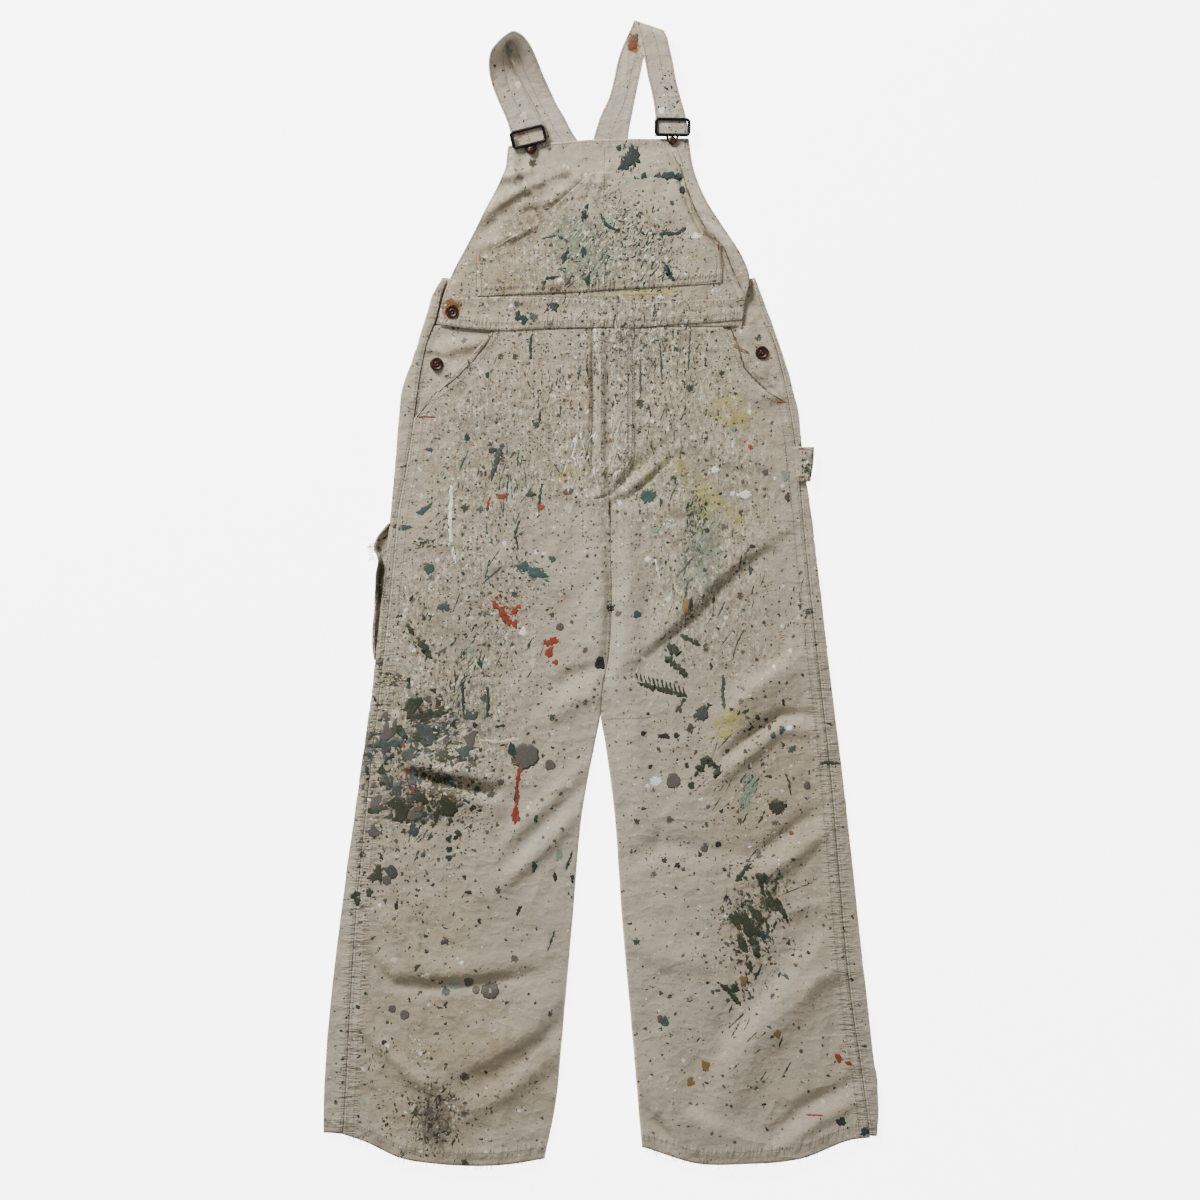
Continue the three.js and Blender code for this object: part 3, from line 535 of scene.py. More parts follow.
# Shoulder straps, each from its buckle over the shoulder fold and down behind the bib. The right one
# stands in a loop with its outer edge raised; the left one is pressed flat in a slanting fold.
def strap_line(stations):
    """A smooth line through (x, y, z) stations, evenly spaced in their number."""
    stations = np.array(stations, float)
    at = np.concatenate([[0], np.cumsum(np.linalg.norm(np.diff(stations, axis=0), axis=1))])
    where = np.interp(np.linspace(0, len(at) - 1, 150), np.arange(len(at)), at)
    return np.stack([smooth(list(zip(at, stations[:, k])))(where) for k in range(3)], axis=1)


OUTER_RIGHT = [
    (-105, 539, 7.8), (-111, 563, 9), (-115, 575, 8.6), (-125, 598, 10), (-133, 619, 14), (-136, 637, 22),
    (-133, 655, 30), (-124, 666, 34), (-114, 674, 36), (-106, 678, 36.5), (-96, 674, 34), (-88, 666, 28),
    (-79, 650, 18), (-71, 631, 9), (-62, 612, 3.5), (-55, 597, 1.4), (-45, 580, 1), (-35, 561, 0.9),
    (-24, 545, 0.9),
]
INNER_RIGHT = [
    (-66, 549, 7.8), (-71, 573, 9), (-76, 581, 8.6), (-85, 598, 8), (-95, 616, 7.6), (-105, 637, 7),
    (-112, 653, 6.4), (-115, 661, 5.8), (-115.5, 665, 5), (-115, 666, 4), (-117, 664, 3), (-118, 656, 2.2),
    (-113, 643, 1.7), (-104, 630, 1.4), (-98, 612, 1.1), (-93, 598, 1), (-88, 581, 0.9), (-82, 562, 0.9),
    (-76, 545, 0.9),
]
OUTER_LEFT = [
    (106.4, 555, 7.8), (105, 570, 9), (103, 580, 8.4), (97, 602, 8), (92, 621, 8), (87, 648, 8.4),
    (83, 665, 8.6), (80, 677, 8), (75, 684.6, 5), (69, 680, 2), (61, 665, 1.4), (52, 650, 1.1),
    (49, 636, 0.9), (44, 614, 0.9), (39, 588, 0.9), (34, 562, 0.9), (32, 545, 0.9),
]
INNER_LEFT = [
    (65.6, 555, 7.8), (66.5, 570, 9), (65.5, 585, 8.4), (62, 607, 8), (57, 628, 8), (52, 655, 8.4),
    (48, 674, 8.8), (43.5, 689, 8.6), (40.3, 696.5, 5), (37.5, 690, 2.2), (33, 680, 1.4), (26, 665, 1.2),
    (21, 650, 0.9), (16, 627, 0.9), (10, 604, 0.9), (-1, 580, 0.9), (-11.5, 545, 0.9),
]
for name, first, second in (("right", OUTER_RIGHT, INNER_RIGHT), ("left", INNER_LEFT, OUTER_LEFT)):
    one, two = strap_line(first), strap_line(second)
    share = np.linspace(0, 1, 20)[None, :, None]
    grid = one[:, None] + (two[:, None] - one[:, None]) * share
    crown = 0.5 * np.exp(-((np.minimum(share, 1 - share) / 0.05) ** 2)) + 0.35 * np.sin(np.pi * share)
    grid[:, :, 2] += crown[:, :, 0] * 0.9
    panel("strap_" + name, grid[::-1], 1.8,
          seams=(("left", 2.5), ("right", 2.5), ("left", 20)), gather=0.25)

# Where the cloth is soiled and spattered, and where painted shade darkens some creases: soft spots as (x, y,
# half width, half height, turn in degrees, strength), one list for each kind of mark. The same fields colour
# the canvas and what is sewn on it.
STAINS = {
    "soil": [
        (40, 290, 170, 130, 0, 0.5), (-120, 190, 120, 150, 0, 0.62), (110, 190, 110, 150, 0, 0.5),
        (-180, -20, 110, 150, 0, 0.5), (-215, -200, 100, 100, 0, 0.8), (125, -20, 120, 150, 0, 0.4),
        (190, -230, 90, 110, 0, 0.55), (200, -400, 90, 110, 0, 0.45), (-205, -640, 60, 60, 10, 0.8),
        (-80, 390, 100, 60, 0, 0.85), (-150, -430, 130, 90, 0, 0.5), (120, 400, 60, 50, 0, 0.4),
        (-95, 470, 60, 35, 35, 0.6), (-115, 400, 60, 50, 0, 0.75), (260, -330, 40, 240, 4, 0.3),
        (-270, -400, 60, 200, -4, 0.25), (160, -600, 130, 60, 0, 0.3), (20, 440, 70, 60, 0, 0.6),
        (-150, -570, 130, 80, 0, 0.75), (190, 150, 50, 70, 0, 0.4),
    ],
    "fleck": [
        (25, 425, 90, 72, 0, 0.85), (35, 310, 120, 80, 0, 0.75), (60, 200, 130, 110, 0, 0.6),
        (-110, 210, 130, 120, 0, 0.6), (-165, 0, 115, 120, 0, 0.75), (-205, -190, 115, 110, 0, 0.95),
        (120, 0, 130, 120, 0, 0.45), (180, -220, 100, 90, 0, 0.5), (180, -400, 55, 90, -20, 0.7),
        (-212, -640, 55, 60, 0, 0.8), (-265, -330, 60, 70, 0, 0.6), (-75, 400, 90, 45, 0, 0.65),
        (252, 155, 14, 24, 0, 0.9), (95, 560, 20, 40, 0, 0.3), (-20, 130, 90, 90, 0, 0.6),
    ],
    "splash": [
        (-205, -190, 110, 90, 0, 0.9), (-150, -60, 110, 90, 0, 0.55), (180, -220, 90, 80, 0, 0.35),
        (185, -400, 50, 70, 0, 0.45), (60, 250, 140, 120, 0, 0.4), (-120, 160, 110, 110, 0, 0.4),
        (-265, -340, 50, 60, 0, 0.6), (-210, -640, 55, 55, 0, 0.4), (100, 60, 110, 90, 0, 0.35),
        (30, 425, 80, 60, 0, 0.45),
    ],
    "crust": [
        (-205, -645, 38, 38, 10, 0.75), (252, 155, 12, 20, 0, 0.7), (-100, 480, 60, 40, 40, 0.4),
        (25, 420, 85, 60, 0, 0.75), (45, 305, 110, 60, 0, 0.6), (85, 190, 90, 90, 0, 0.4),
        (-120, 180, 110, 110, 0, 0.75), (-170, -30, 100, 100, 0, 0.8), (140, 120, 90, 130, 0, 0.6),
        (110, -20, 90, 90, 0, 0.45), (-200, -190, 100, 90, 0, 0.85), (170, -70, 80, 70, 0, 0.35),
        (185, -410, 40, 60, 0, 0.5), (-60, 395, 80, 40, 0, 0.5), (15, 140, 40, 60, 0, 0.5),
    ],
    "teal": [
        (128, 58, 26, 52, 3, 0.75), (95, 5, 20, 40, 0, 0.4), (-20, 440, 34, 34, 20, 0.4),
        (-28, 430, 26, 42, 20, 0.55), (-12, 395, 32, 26, 0, 0.45), (60, 400, 60, 26, 0, 0.3),
        (125, 20, 22, 70, 3, 0.3), (50, 300, 60, 40, 0, 0.3), (-150, -130, 45, 50, 30, 0.4),
        (180, -240, 14, 34, -12, 0.75), (45, -8, 30, 20, 0, 0.12), (-170, -165, 50, 30, 0, 0.35),
    ],
    "ochre": [
        (122, 112, 15, 36, 0, 0.75), (166, 88, 10, 16, 10, 0.6), (140, 110, 26, 14, -20, 0.7),
        (176, 215, 16, 10, 30, 0.7), (150, 232, 22, 7, 20, 0.7), (160, 207, 22, 6, -10, 0.7),
        (92, 150, 20, 24, 30, 0.6), (-38, 145, 18, 10, 10, 0.7), (58, 365, 42, 5, 2, 0.85),
        (160, 222, 28, 18, 0, 0.4), (-45, 145, 14, 8, 30, 0.6), (58, 142, 10, 26, 20, 0.5),
        (158, -152, 24, 14, 20, 0.8), (145, -172, 20, 8, 0, 0.6), (20, 370, 70, 24, 0, 0.3),
        (40, 60, 60, 40, 0, 0.22), (-5, -40, 30, 40, 0, 0.15), (90, -50, 50, 30, 0, 0.2),
        (150, 60, 40, 60, 0, 0.2),
    ],
    "slate": [
        (-203, -650, 22, 34, 10, 0.55), (-288, -195, 14, 38, -4, 0.95), (-200, -168, 42, 26, 0, 0.7),
        (-240, -235, 50, 26, 20, 0.5), (-180, -120, 30, 32, 30, 0.45), (-100, 440, 20, 8, 0, 0.2),
        (-220, -270, 60, 26, 0, 0.5),
    ],
    # Dirt, and painted shade: some of these spots lie along creases, such as those across the bib, to darken
    # them.
    "dirt_and_shade": [
        (-101, 501, 14, 7, 20, 0.8), (-46, 508, 13, 5, 15, 0.8), (-203, -648, 20, 36, 12, 1.0),
        (-186, -622, 30, 24, 0, 0.6), (-60, 468, 44, 18, 30, 0.5), (0, 485, 36, 24, 0, 0.5),
        (-105, 438, 44, 20, 30, 0.5), (-150, -20, 60, 40, 0, 0.3), (-120, 380, 40, 20, 0, 0.4),
        (-45, 395, 40, 30, 0, 0.4), (150, 60, 40, 40, 30, 0.3), (-180, 130, 30, 60, 0, 0.3),
        (-225, -420, 40, 50, 0, 0.3), (-90, -590, 60, 20, 20, 0.3), (200, -470, 30, 50, 20, 0.35),
        (14, 90, 10, 50, 0, 0.4),
    ],
    "faded": [
        (65, -260, 42, 110, 8, 0.85), (215, -480, 28, 120, -28, 0.7), (-60, -300, 50, 100, -10, 0.8),
        (0, -50, 60, 120, 0, 0.8), (332, -500, 16, 160, 3, 0.9), (300, -100, 20, 150, 0, 0.5),
        (-312, -450, 16, 160, -3, 0.8), (-80, -480, 60, 80, 0, 0.5), (100, -480, 60, 80, 0, 0.4),
        (-60, 600, 90, 70, 0, 0.7), (60, 600, 60, 70, 0, 0.7), (150, 460, 40, 90, 30, 0.4),
        (-30, 40, 60, 50, 0, 0.5), (20, 215, 24, 66, 0, 0.75), (-30, 320, 20, 40, 0, 0.4),
        (60, -60, 50, 90, 0, 0.5),
    ],
    "rust": [
        (38, 672, 8, 12, 0, 1.0), (42, 664, 4, 9, 0, 0.9), (-92, 556, 12, 6, 12, 0.6),
        (-181.5, 347, 12, 7, 0, 1.0), (-184, 352, 10, 6, 0, 0.9), (-191, 341, 4, 9, 20, 0.8),
        (-171, 340, 3, 8, 0, 0.6), (-200, 278, 8, 8, 0, 0.35), (196, 292, 8, 8, 0, 0.35),
    ],
    "green": [
        (-270, 15, 9, 36, 0, 1.0), (255, 150, 10, 12, 0, 0.6), (-190, -240, 32, 20, -30, 0.75),
        (-235, -262, 34, 18, -20, 0.7), (-215, -140, 44, 10, -8, 0.65), (180, -395, 26, 44, -32, 0.6),
        (215, -350, 16, 26, -35, 0.55), (110, 45, 26, 46, 0, 0.35), (70, 310, 70, 30, 0, 0.35),
        (-185, -650, 20, 30, 0, 0.35),
    ],
}


def stain_fields(x, y):
    """Each kind of mark at a place: the soft union of its spots."""
    fields = {}
    for kind, spots in STAINS.items():
        clear = np.ones_like(x)
        for cx, cy, wide, high, turn, strength in spots:
            c, s = math.cos(math.radians(turn)), math.sin(math.radians(turn))
            u = ((x - cx) * c + (y - cy) * s) / wide
            v = ((y - cy) * c - (x - cx) * s) / high
            clear *= 1 - strength * np.exp(-(u * u + v * v))
        fields[kind] = 1 - clear
    return fields


HIDDEN_SHARE = 0.3


def store_fields(piece):
    """The fields as attributes of a piece's points, weaker on what faces down."""
    count = len(piece.data.vertices)
    place, normal = np.empty(count * 3), np.empty(count * 3)
    piece.data.vertices.foreach_get("co", place)
    piece.data.vertices.foreach_get("normal", normal)
    x, y = place.reshape(-1, 3)[:, 0] * 1000, place.reshape(-1, 3)[:, 1] * 1000
    up = HIDDEN_SHARE + (1 - HIDDEN_SHARE) * ease(-0.3, 0.3, normal.reshape(-1, 3)[:, 2])
    for kind, field in stain_fields(x, y).items():
        layer = piece.data.attributes.new(kind, "FLOAT", "POINT")
        layer.data.foreach_set("value", (field * up).astype(np.float32))


# Specks of dried paint: one round or ragged speck in each cell of a random mesh, kept where its own
# random number is below the density.
class Tree:
    """A node tree, with a method for each kind of node that the materials use."""

    def __init__(self, tree):
        self.tree = tree

    def join(self, value, socket):
        """A socket is linked to the other, and a plain value is set on it."""
        if isinstance(value, bpy.types.NodeSocket):
            self.tree.links.new(value, socket)
        else:
            socket.default_value = value

    def add(self, kind, inputs, **settings):
        """A shader node with its settings and its inputs."""
        made = self.tree.nodes.new("ShaderNode" + kind)
        for key, value in settings.items():
            setattr(made, key, value)
        for key, value in inputs.items():
            self.join(value, made.inputs[key])
        return made

    def maths(self, operation, *values, clamp=False):
        return self.add("Math", dict(enumerate(values)), operation=operation, use_clamp=clamp).outputs[0]

    def times(self, one, other, clamp=False):
        return self.maths("MULTIPLY", one, other, clamp=clamp)

    def fused(self, one, other, extra):
        """The first times the second, plus the third."""
        return self.maths("MULTIPLY_ADD", one, other, extra)

    def vectors(self, operation, one, other):
        inputs = {0: one, 3 if operation == "SCALE" else 1: other}
        return self.add("VectorMath", inputs, operation=operation).outputs[0]

    def step(self, low, high, value):
        """0 below low and 1 above high."""
        inputs = {"Value": value, "From Min": low, "From Max": high}
        return self.add("MapRange", inputs, interpolation_type="SMOOTHSTEP").outputs["Result"]

    def noise(self, vector, size, detail=2.0, rough=0.5):
        """Noise whose patches are about that many millimetres wide."""
        inputs = {"Vector": vector, "Scale": 1000 / size, "Detail": detail, "Roughness": rough}
        return self.add("TexNoise", inputs).outputs["Fac"]

    def attribute(self, label, output="Fac"):
        return self.add("Attribute", {}, attribute_name=label).outputs[output]

    def blend(self, factor, under, over):
        """A mix of two colours."""
        return self.add("Mix", {0: factor, 6: under, 7: over}, data_type="RGBA").outputs[2]

    def wash(self, color, mask, strength, over):
        """A colour laid over another by a mask, at most that strongly."""
        return self.blend(mask if strength == 1 else self.times(mask, strength), color, (*over, 1))

    def palette(self, pick, colors):
        """One of several colours by a number from 0 to 1."""
        made = self.add("ValToRGB", {"Fac": pick})
        made.color_ramp.interpolation = "CONSTANT"
        while len(made.color_ramp.elements) < len(colors):
            made.color_ramp.elements.new(0.5)
        for k, (element, color) in enumerate(zip(made.color_ramp.elements, colors)):
            element.position = k / len(colors)
            element.color = (*color, 1)
        return made.outputs[0]


def group(name, inputs, outputs):
    """An empty node group with named sockets, what it is given, and the sockets of its result."""
    tree = bpy.data.node_groups.new(name, "ShaderNodeTree")
    kinds = {"v": "NodeSocketVector", "f": "NodeSocketFloat", "c": "NodeSocketColor"}
    for direction, sockets in (("INPUT", inputs), ("OUTPUT", outputs)):
        for label, kind in sockets:
            tree.interface.new_socket(label, in_out=direction, socket_type=kinds[kind])
    start, end = tree.nodes.new("NodeGroupInput"), tree.nodes.new("NodeGroupOutput")
    return Tree(tree), start.outputs, end.inputs


specks, given, result = group(
    "specks",
    [("Vector", "v"), ("Cell", "f"), ("Density", "f"), ("Least", "f"), ("Most", "f"), ("Ragged", "f")],
    [("Mask", "f"), ("Pick", "f")],
)
wobble = specks.add("TexNoise", {"Vector": given["Vector"], "Scale": 400, "Detail": 2.0}).outputs["Color"]
wobble = specks.vectors("SCALE", specks.vectors("SUBTRACT", wobble, (0.5, 0.5, 0.5)), given["Ragged"])
place = specks.vectors("SCALE", specks.vectors("ADD", given["Vector"], wobble), 1000.0)
inverse = specks.maths("DIVIDE", 1.0, given["Cell"])
cells = specks.add("TexVoronoi", {"Vector": place, "Scale": inverse}, voronoi_dimensions="2D").outputs
part = specks.add("SeparateColor", {"Color": cells["Color"]}).outputs
spread = specks.maths("SUBTRACT", given["Most"], given["Least"])
size = specks.fused(specks.times(part[1], part[1]), spread, given["Least"])
far = specks.times(cells["Distance"], given["Cell"])
inside = specks.step(0.0, 0.45, specks.maths("SUBTRACT", size, far))
specks.join(specks.times(inside, specks.maths("LESS_THAN", part[0], given["Density"])), result["Mask"])
specks.join(part[2], result["Pick"])

# Worn canvas with its soil and spatter, and painted shade in its stitch grooves, puckers and creases, as one
# group of the painted cloth's colour and relief. The colours of dried paint serve the marks on it too.
BLACK, BROWN, OLIVE = (0.014, 0.012, 0.009), (0.066, 0.046, 0.028), (0.026, 0.030, 0.011)
SLATE, TEAL, PINE = (0.040, 0.049, 0.041), (0.028, 0.062, 0.050), (0.010, 0.027, 0.018)
CREAM, WHITE, GREY = (0.55, 0.49, 0.37), (0.76, 0.74, 0.66), (0.088, 0.077, 0.061)
BRICK, OCHRE, SAGE = (0.23, 0.027, 0.007), (0.17, 0.105, 0.032), (0.20, 0.27, 0.19)
YELLOW = (0.34, 0.30, 0.095)
RUST = (0.12, 0.038, 0.007)
THREAD_RUN_M, WEAVE_M = 0.0032, 0.0011
painted, given, result = group(
    "painted_canvas", [("Vector", "v")], [("Color", "c"), ("Height", "f"), ("Paint", "f")]
)
vector = given["Vector"]
field = {kind: painted.attribute(kind) for kind in STAINS}
grain = painted.noise(vector, 1.6, 2.0, 0.6)
patchy = painted.noise(vector, 60, 3.0, 0.55)
mottle = painted.noise(vector, 14, 4.0, 0.6)
soil = painted.fused(painted.maths("SUBTRACT", painted.noise(vector, 24, 6.0, 0.7), 0.5), 2.6, 0.75)
scrape = painted.vectors("MULTIPLY", vector, (1.0, 0.45, 1.0))
light_cake = painted.fused(field["crust"], 0.42, painted.noise(scrape, 5, 6.0, 0.75))
light_cake = painted.step(0.70, 0.80, light_cake)
dark_cake = painted.fused(field["crust"], 0.42, painted.noise(scrape, 4.2, 6.0, 0.8))
dark_cake = painted.step(0.68, 0.78, dark_cake)
color = (0.440, 0.375, 0.272, 1)
for mask, strength, over in (
    (painted.step(0.3, 0.7, patchy), 1, (0.385, 0.330, 0.244)),
    (painted.step(0.35, 0.65, mottle), 0.35, (0.51, 0.435, 0.310)),
    (painted.times(field["soil"], soil, clamp=True), 1, (0.270, 0.212, 0.115)),
    (painted.step(0.45, 0.75, grain), 0.30, (0.50, 0.46, 0.39)),
    (painted.step(0.55, 0.30, grain), 0.25, (0.20, 0.175, 0.14)),
    (painted.times(field["faded"], painted.step(0.25, 0.6, patchy)), 0.75, (0.42, 0.388, 0.315)),
    (light_cake, 0.85, (0.57, 0.51, 0.37)),
    (dark_cake, 0.52, (0.115, 0.094, 0.052)),
):
    color = painted.wash(color, mask, strength, over)
rub = painted.noise(painted.vectors("MULTIPLY", vector, (1.0, 0.6, 1.0)), 7, 6.0, 0.75)
for kind, strength, over in (
    ("teal", 0.7, (0.120, 0.155, 0.108)),
    ("ochre", 0.8, (0.34, 0.30, 0.095)),
    ("slate", 0.9, (0.100, 0.105, 0.092)),
    # Dirt, and painted shade along creases.
    ("dirt_and_shade", 0.85, (0.140, 0.112, 0.075)),
    ("green", 0.9, (0.045, 0.052, 0.020)),
    ("rust", 0.95, (0.20, 0.075, 0.014)),
):
    worn = painted.fused(painted.maths("SUBTRACT", rub, 0.5), 2.4, field[kind])
    worn = painted.times(painted.step(0.30, 0.75, worn), painted.step(0.02, 0.25, field[kind]))
    color = painted.wash(color, worn, strength, over)
relief = painted.times(light_cake, 0.5)
for cell, least, most, ragged, share, kind, colors in (
    (4.6, 0.6, 1.6, 0.0030, 0.60, "fleck", (BLACK, BROWN, OLIVE, BLACK)),
    (5.0, 0.5, 1.5, 0.0030, 0.55, "fleck", (CREAM, WHITE, CREAM)),
    (9.0, 0.6, 2.6, 0.0060, 0.46, "fleck", (BLACK, OLIVE, BROWN, SLATE, BROWN)),
    (10.0, 0.7, 3.0, 0.0070, 0.35, "fleck", (CREAM, WHITE, CREAM, SAGE)),
    (21.0, 1.5, 6.0, 0.0110, 0.55, "splash", (GREY, SLATE, OLIVE, PINE, CREAM, BROWN, GREY)),
):
    shifted = painted.vectors("ADD", vector, (cell * 0.37, cell * 0.11, cell * 0.23))
    inputs = {"Vector": shifted, "Cell": cell, "Density": painted.fused(field[kind], share, 0.06)}
    inputs.update({"Least": least, "Most": most, "Ragged": ragged})
    made = painted.add("Group", inputs, node_tree=specks.tree).outputs
    color = painted.blend(painted.times(made["Mask"], 0.92), color, painted.palette(made["Pick"], colors))
    relief = painted.maths("MAXIMUM", relief, made["Mask"])
axes = painted.add("SeparateXYZ", {"Vector": vector}).outputs
along = painted.times(painted.fused(axes[0], -0.6, axes[1]), 2 * math.pi / THREAD_RUN_M)
dash = painted.step(-0.5, 0.1, painted.maths("SINE", along))
# Rows of stitches on the canvas: a dark band along each, painted shade of its groove with soil, and pale
# dashes of thread.
row = 0.0
for k in range(3):
    off = painted.maths("ABSOLUTE", painted.attribute("stitch_%d" % k))
    row = painted.maths("MAXIMUM", row, painted.step(0.9, 0.35, off))
color = painted.wash(color, row, 0.6, (0.13, 0.105, 0.075))
color = painted.wash(color, painted.times(row, dash), 0.55, (0.42, 0.38, 0.31))
rise = painted.fused(relief, 0.25, painted.times(grain, 0.28))
rise = painted.fused(painted.noise(vector, 30, 4.0, 0.6), 2.6, rise)
for size, deep, turned in ((46, 4.0, (1.0, 0.55, 1.0)), (22, 2.2, (0.6, 1.0, 1.0))):
    bent = painted.noise(painted.vectors("MULTIPLY", vector, turned), size)
    ridge = painted.maths("MINIMUM", painted.maths("ABSOLUTE", painted.maths("SUBTRACT", bent, 0.5)), 0.16)
    rise = painted.fused(ridge, -1.9 * deep, rise)
rise = painted.fused(painted.maths("SUBTRACT", dash, 1.1), painted.times(row, 0.35), rise)
# Puckers beside the seams: a wavy relief, with painted shade darkening its troughs.
for label, squeeze in (("pucker_down", (70.0, 330.0, 70.0)), ("pucker_across", (330.0, 70.0, 70.0))):
    weight = painted.attribute(label)
    wave = {"Vector": painted.vectors("MULTIPLY", vector, squeeze), "Scale": 1.0, "Detail": 1.0}
    wave = painted.add("TexNoise", wave).outputs["Fac"]
    rise = painted.fused(painted.times(wave, weight), 3.0, rise)
    pucker_shade = painted.times(weight, painted.step(0.50, 0.30, wave))
    color = painted.wash(color, pucker_shade, 0.35, (0.20, 0.165, 0.115))
weave = [painted.maths("SINE", painted.times(axes[k], 2 * math.pi / WEAVE_M)) for k in range(2)]
rise = painted.fused(painted.maths("ADD", *weave), 0.03, rise)
painted.join(color, result["Color"])
painted.join(rise, result["Height"])
painted.join(relief, result["Paint"])


def start_material(name):
    """A new material, its tree and the place on the object."""
    material = bpy.data.materials.new(name)
    material.use_nodes = True
    tree = Tree(material.node_tree)
    return material, tree, tree.add("TexCoord", {}).outputs["Object"]


def dress(tree, color, mask, rough_low, rough_high, height, strength, depth):
    """The shader's colour, its roughness between two values by a mask, and relief of that depth in metres."""
    shader = tree.tree.nodes["Principled BSDF"]
    rough = tree.add("MapRange", {"Value": mask, "To Min": rough_low, "To Max": rough_high})
    bump = tree.add("Bump", {"Strength": strength, "Distance": depth, "Height": height})
    tree.join(color, shader.inputs["Base Color"])
    tree.join(rough.outputs["Result"], shader.inputs["Roughness"])
    tree.join(bump.outputs["Normal"], shader.inputs["Normal"])
    return shader


canvas, tree, where = start_material("canvas")
made = tree.add("Group", {"Vector": where}, node_tree=painted.tree).outputs
dress(tree, made["Color"], made["Paint"], 0.95, 0.62, made["Height"], 1.0, 0.001)
for piece in PANELS:
    store_fields(piece)
    piece.data.materials.append(canvas)

# Dried paint that stands on the canvas: blots and runs that can be told apart, the dry strokes of a
# brush, and clusters of fine spatter. Each mark is a thin closed skin that follows the cloth; sizes are
# in millimetres.
starts = np.cumsum([0] + [len(points) for points, quads in COVERS])
cover = BVHTree.FromPolygons(
    np.concatenate([points for points, quads in COVERS]).tolist(),
    np.concatenate([quads + start for start, (points, quads) in zip(starts, COVERS)]).tolist(),
)


def cloth(places):
    """The heights of the cloth under places (x, y), or None where it isn't under all of them."""
    hits = [cover.ray_cast(Vector((x, y, 80)), Vector((0, 0, -1)))[0] for x, y in places]
    return None if None in hits else np.array([hit.z for hit in hits])


class Skin:
    """Closed low shapes collected into one mesh, with a colour on each point."""

    def __init__(self):
        self.points, self.quads, self.triangles, self.colors = [], [], [], []
        self.count = 0

    def rings(self, rings, color, closed=False):
        """Rings of equal number joined into a wall, which ends in a fan or, where closed, in its start."""
        count, size = rings.shape[:2]
        points = rings.reshape(-1, 3)
        i = np.arange(size)
        j = np.roll(i, -1)
        here = self.count + size * np.arange(count if closed else count - 1)[:, None]
        ahead = self.count + size * np.roll(np.arange(count), -1)[: len(here), None]
        self.quads.append(np.stack([here + i, here + j, ahead + j, ahead + i], axis=2).reshape(-1, 4))
        if not closed:
            points = np.concatenate([points, rings[[0, -1]].mean(axis=1)])
            first, last = self.count, self.count + size * (count - 1)
            middle = np.full(size, self.count + size * count)
            self.triangles.append(np.stack([first + j, first + i, middle], axis=1))
            self.triangles.append(np.stack([last + i, last + j, middle + 1], axis=1))
        self.points.append(points)
        self.colors.append(np.tile((*color, 1), (len(points), 1)))
        self.count += len(points)

    def lay(self, places, lifts, color, random):
        """Rings of places (x, y) laid on the cloth, each point lifted off it, unless one misses it."""
        under = cloth(places.reshape(-1, 2))
        if under is not None:
            shade = 1 + 0.25 * (random.random() - 0.5)
            rings = np.dstack([places, under.reshape(places.shape[:2]) + lifts])
            self.rings(rings, np.minimum(1, np.array(color) * shade))

    def blot(self, x, y, wide, high, turn, color, random, rise=0.2, ragged=0.16, count=12):
        """A blot: a star-shaped edge about its middle, and a low flat top."""
        if cloth([(x, y)]) is None:
            return
        angle = np.linspace(0, 2 * np.pi, count, endpoint=False)
        uneven = random.standard_normal(count) + 0.8 * np.sin(3 * angle + random.uniform(0, 6))
        reach = 1 + ragged * uneven
        c, s = math.cos(math.radians(turn)), math.sin(math.radians(turn))
        steps = ((0.9, -0.4), (1.0, 0.03), (0.6, rise))
        if count > 8:
            steps = ((0.9, -0.5), (1.0, 0.03), (0.84, rise), (0.4, rise * 1.1))
        scale, lift = np.array(steps).T[:, :, None]
        u, v = wide * scale * reach * np.cos(angle), high * scale * reach * np.sin(angle)
        self.lay(np.stack([x + u * c - v * s, y + u * s + v * c], axis=2), lift, color, random)

    def stroke(self, path, wide, color, random, rise=0.2, ragged=0.3, pace=2.0):
        """A run or stroke along a path, its edges uneven and its ends pointed."""
        path = np.array(path, float)
        length = np.hypot(*np.diff(path, axis=0).T)
        at = np.concatenate([[0], np.cumsum(length)])
        where = np.linspace(0, at[-1], max(4, int(at[-1] / pace)))
        line = np.stack([np.interp(where, at, path[:, 0]), np.interp(where, at, path[:, 1])], axis=1)
        line += 0.12 * wide * random.standard_normal(line.shape)
        along = np.gradient(line, axis=0)
        along /= np.maximum(np.hypot(*along.T)[:, None], 1e-6)
        across = np.stack([-along[:, 1], along[:, 0]], axis=1)
        t = np.linspace(0, 1, len(line))
        half = wide / 2 * np.sqrt(np.clip(1 - np.abs(2 * t - 1) ** 5, 0.06, 1))
        half = half * (1 + ragged * random.standard_normal(len(line))).clip(0.3, 1.9)
        profile = ((-0.7, -0.5), (0.7, -0.5), (1, 0.02), (0.6, rise), (-0.6, rise), (-1, 0.02))
        offset, lift = np.array(profile).T
        places = line[:, None] + across[:, None] * offset[:, None] * half[:, None, None]
        self.lay(places, lift, color, random)

    def piece(self, name, material):
        """The collected shapes as one object, a rigid part of the garment."""
        mesh = bpy.data.meshes.new(name)
        faces = [face for batch in self.quads + self.triangles for face in batch.tolist()]
        mesh.from_pydata((np.concatenate(self.points) / 1000).tolist(), [], faces)
        layer = mesh.attributes.new("paint", "FLOAT_COLOR", "POINT")
        layer.data.foreach_set("color", np.concatenate(self.colors).astype(np.float32).ravel())
        mesh.polygons.foreach_set("use_smooth", np.ones(len(mesh.polygons), bool))
        mesh.materials.append(material)
        made = put(name, mesh)
        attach(made, "root")
        return made


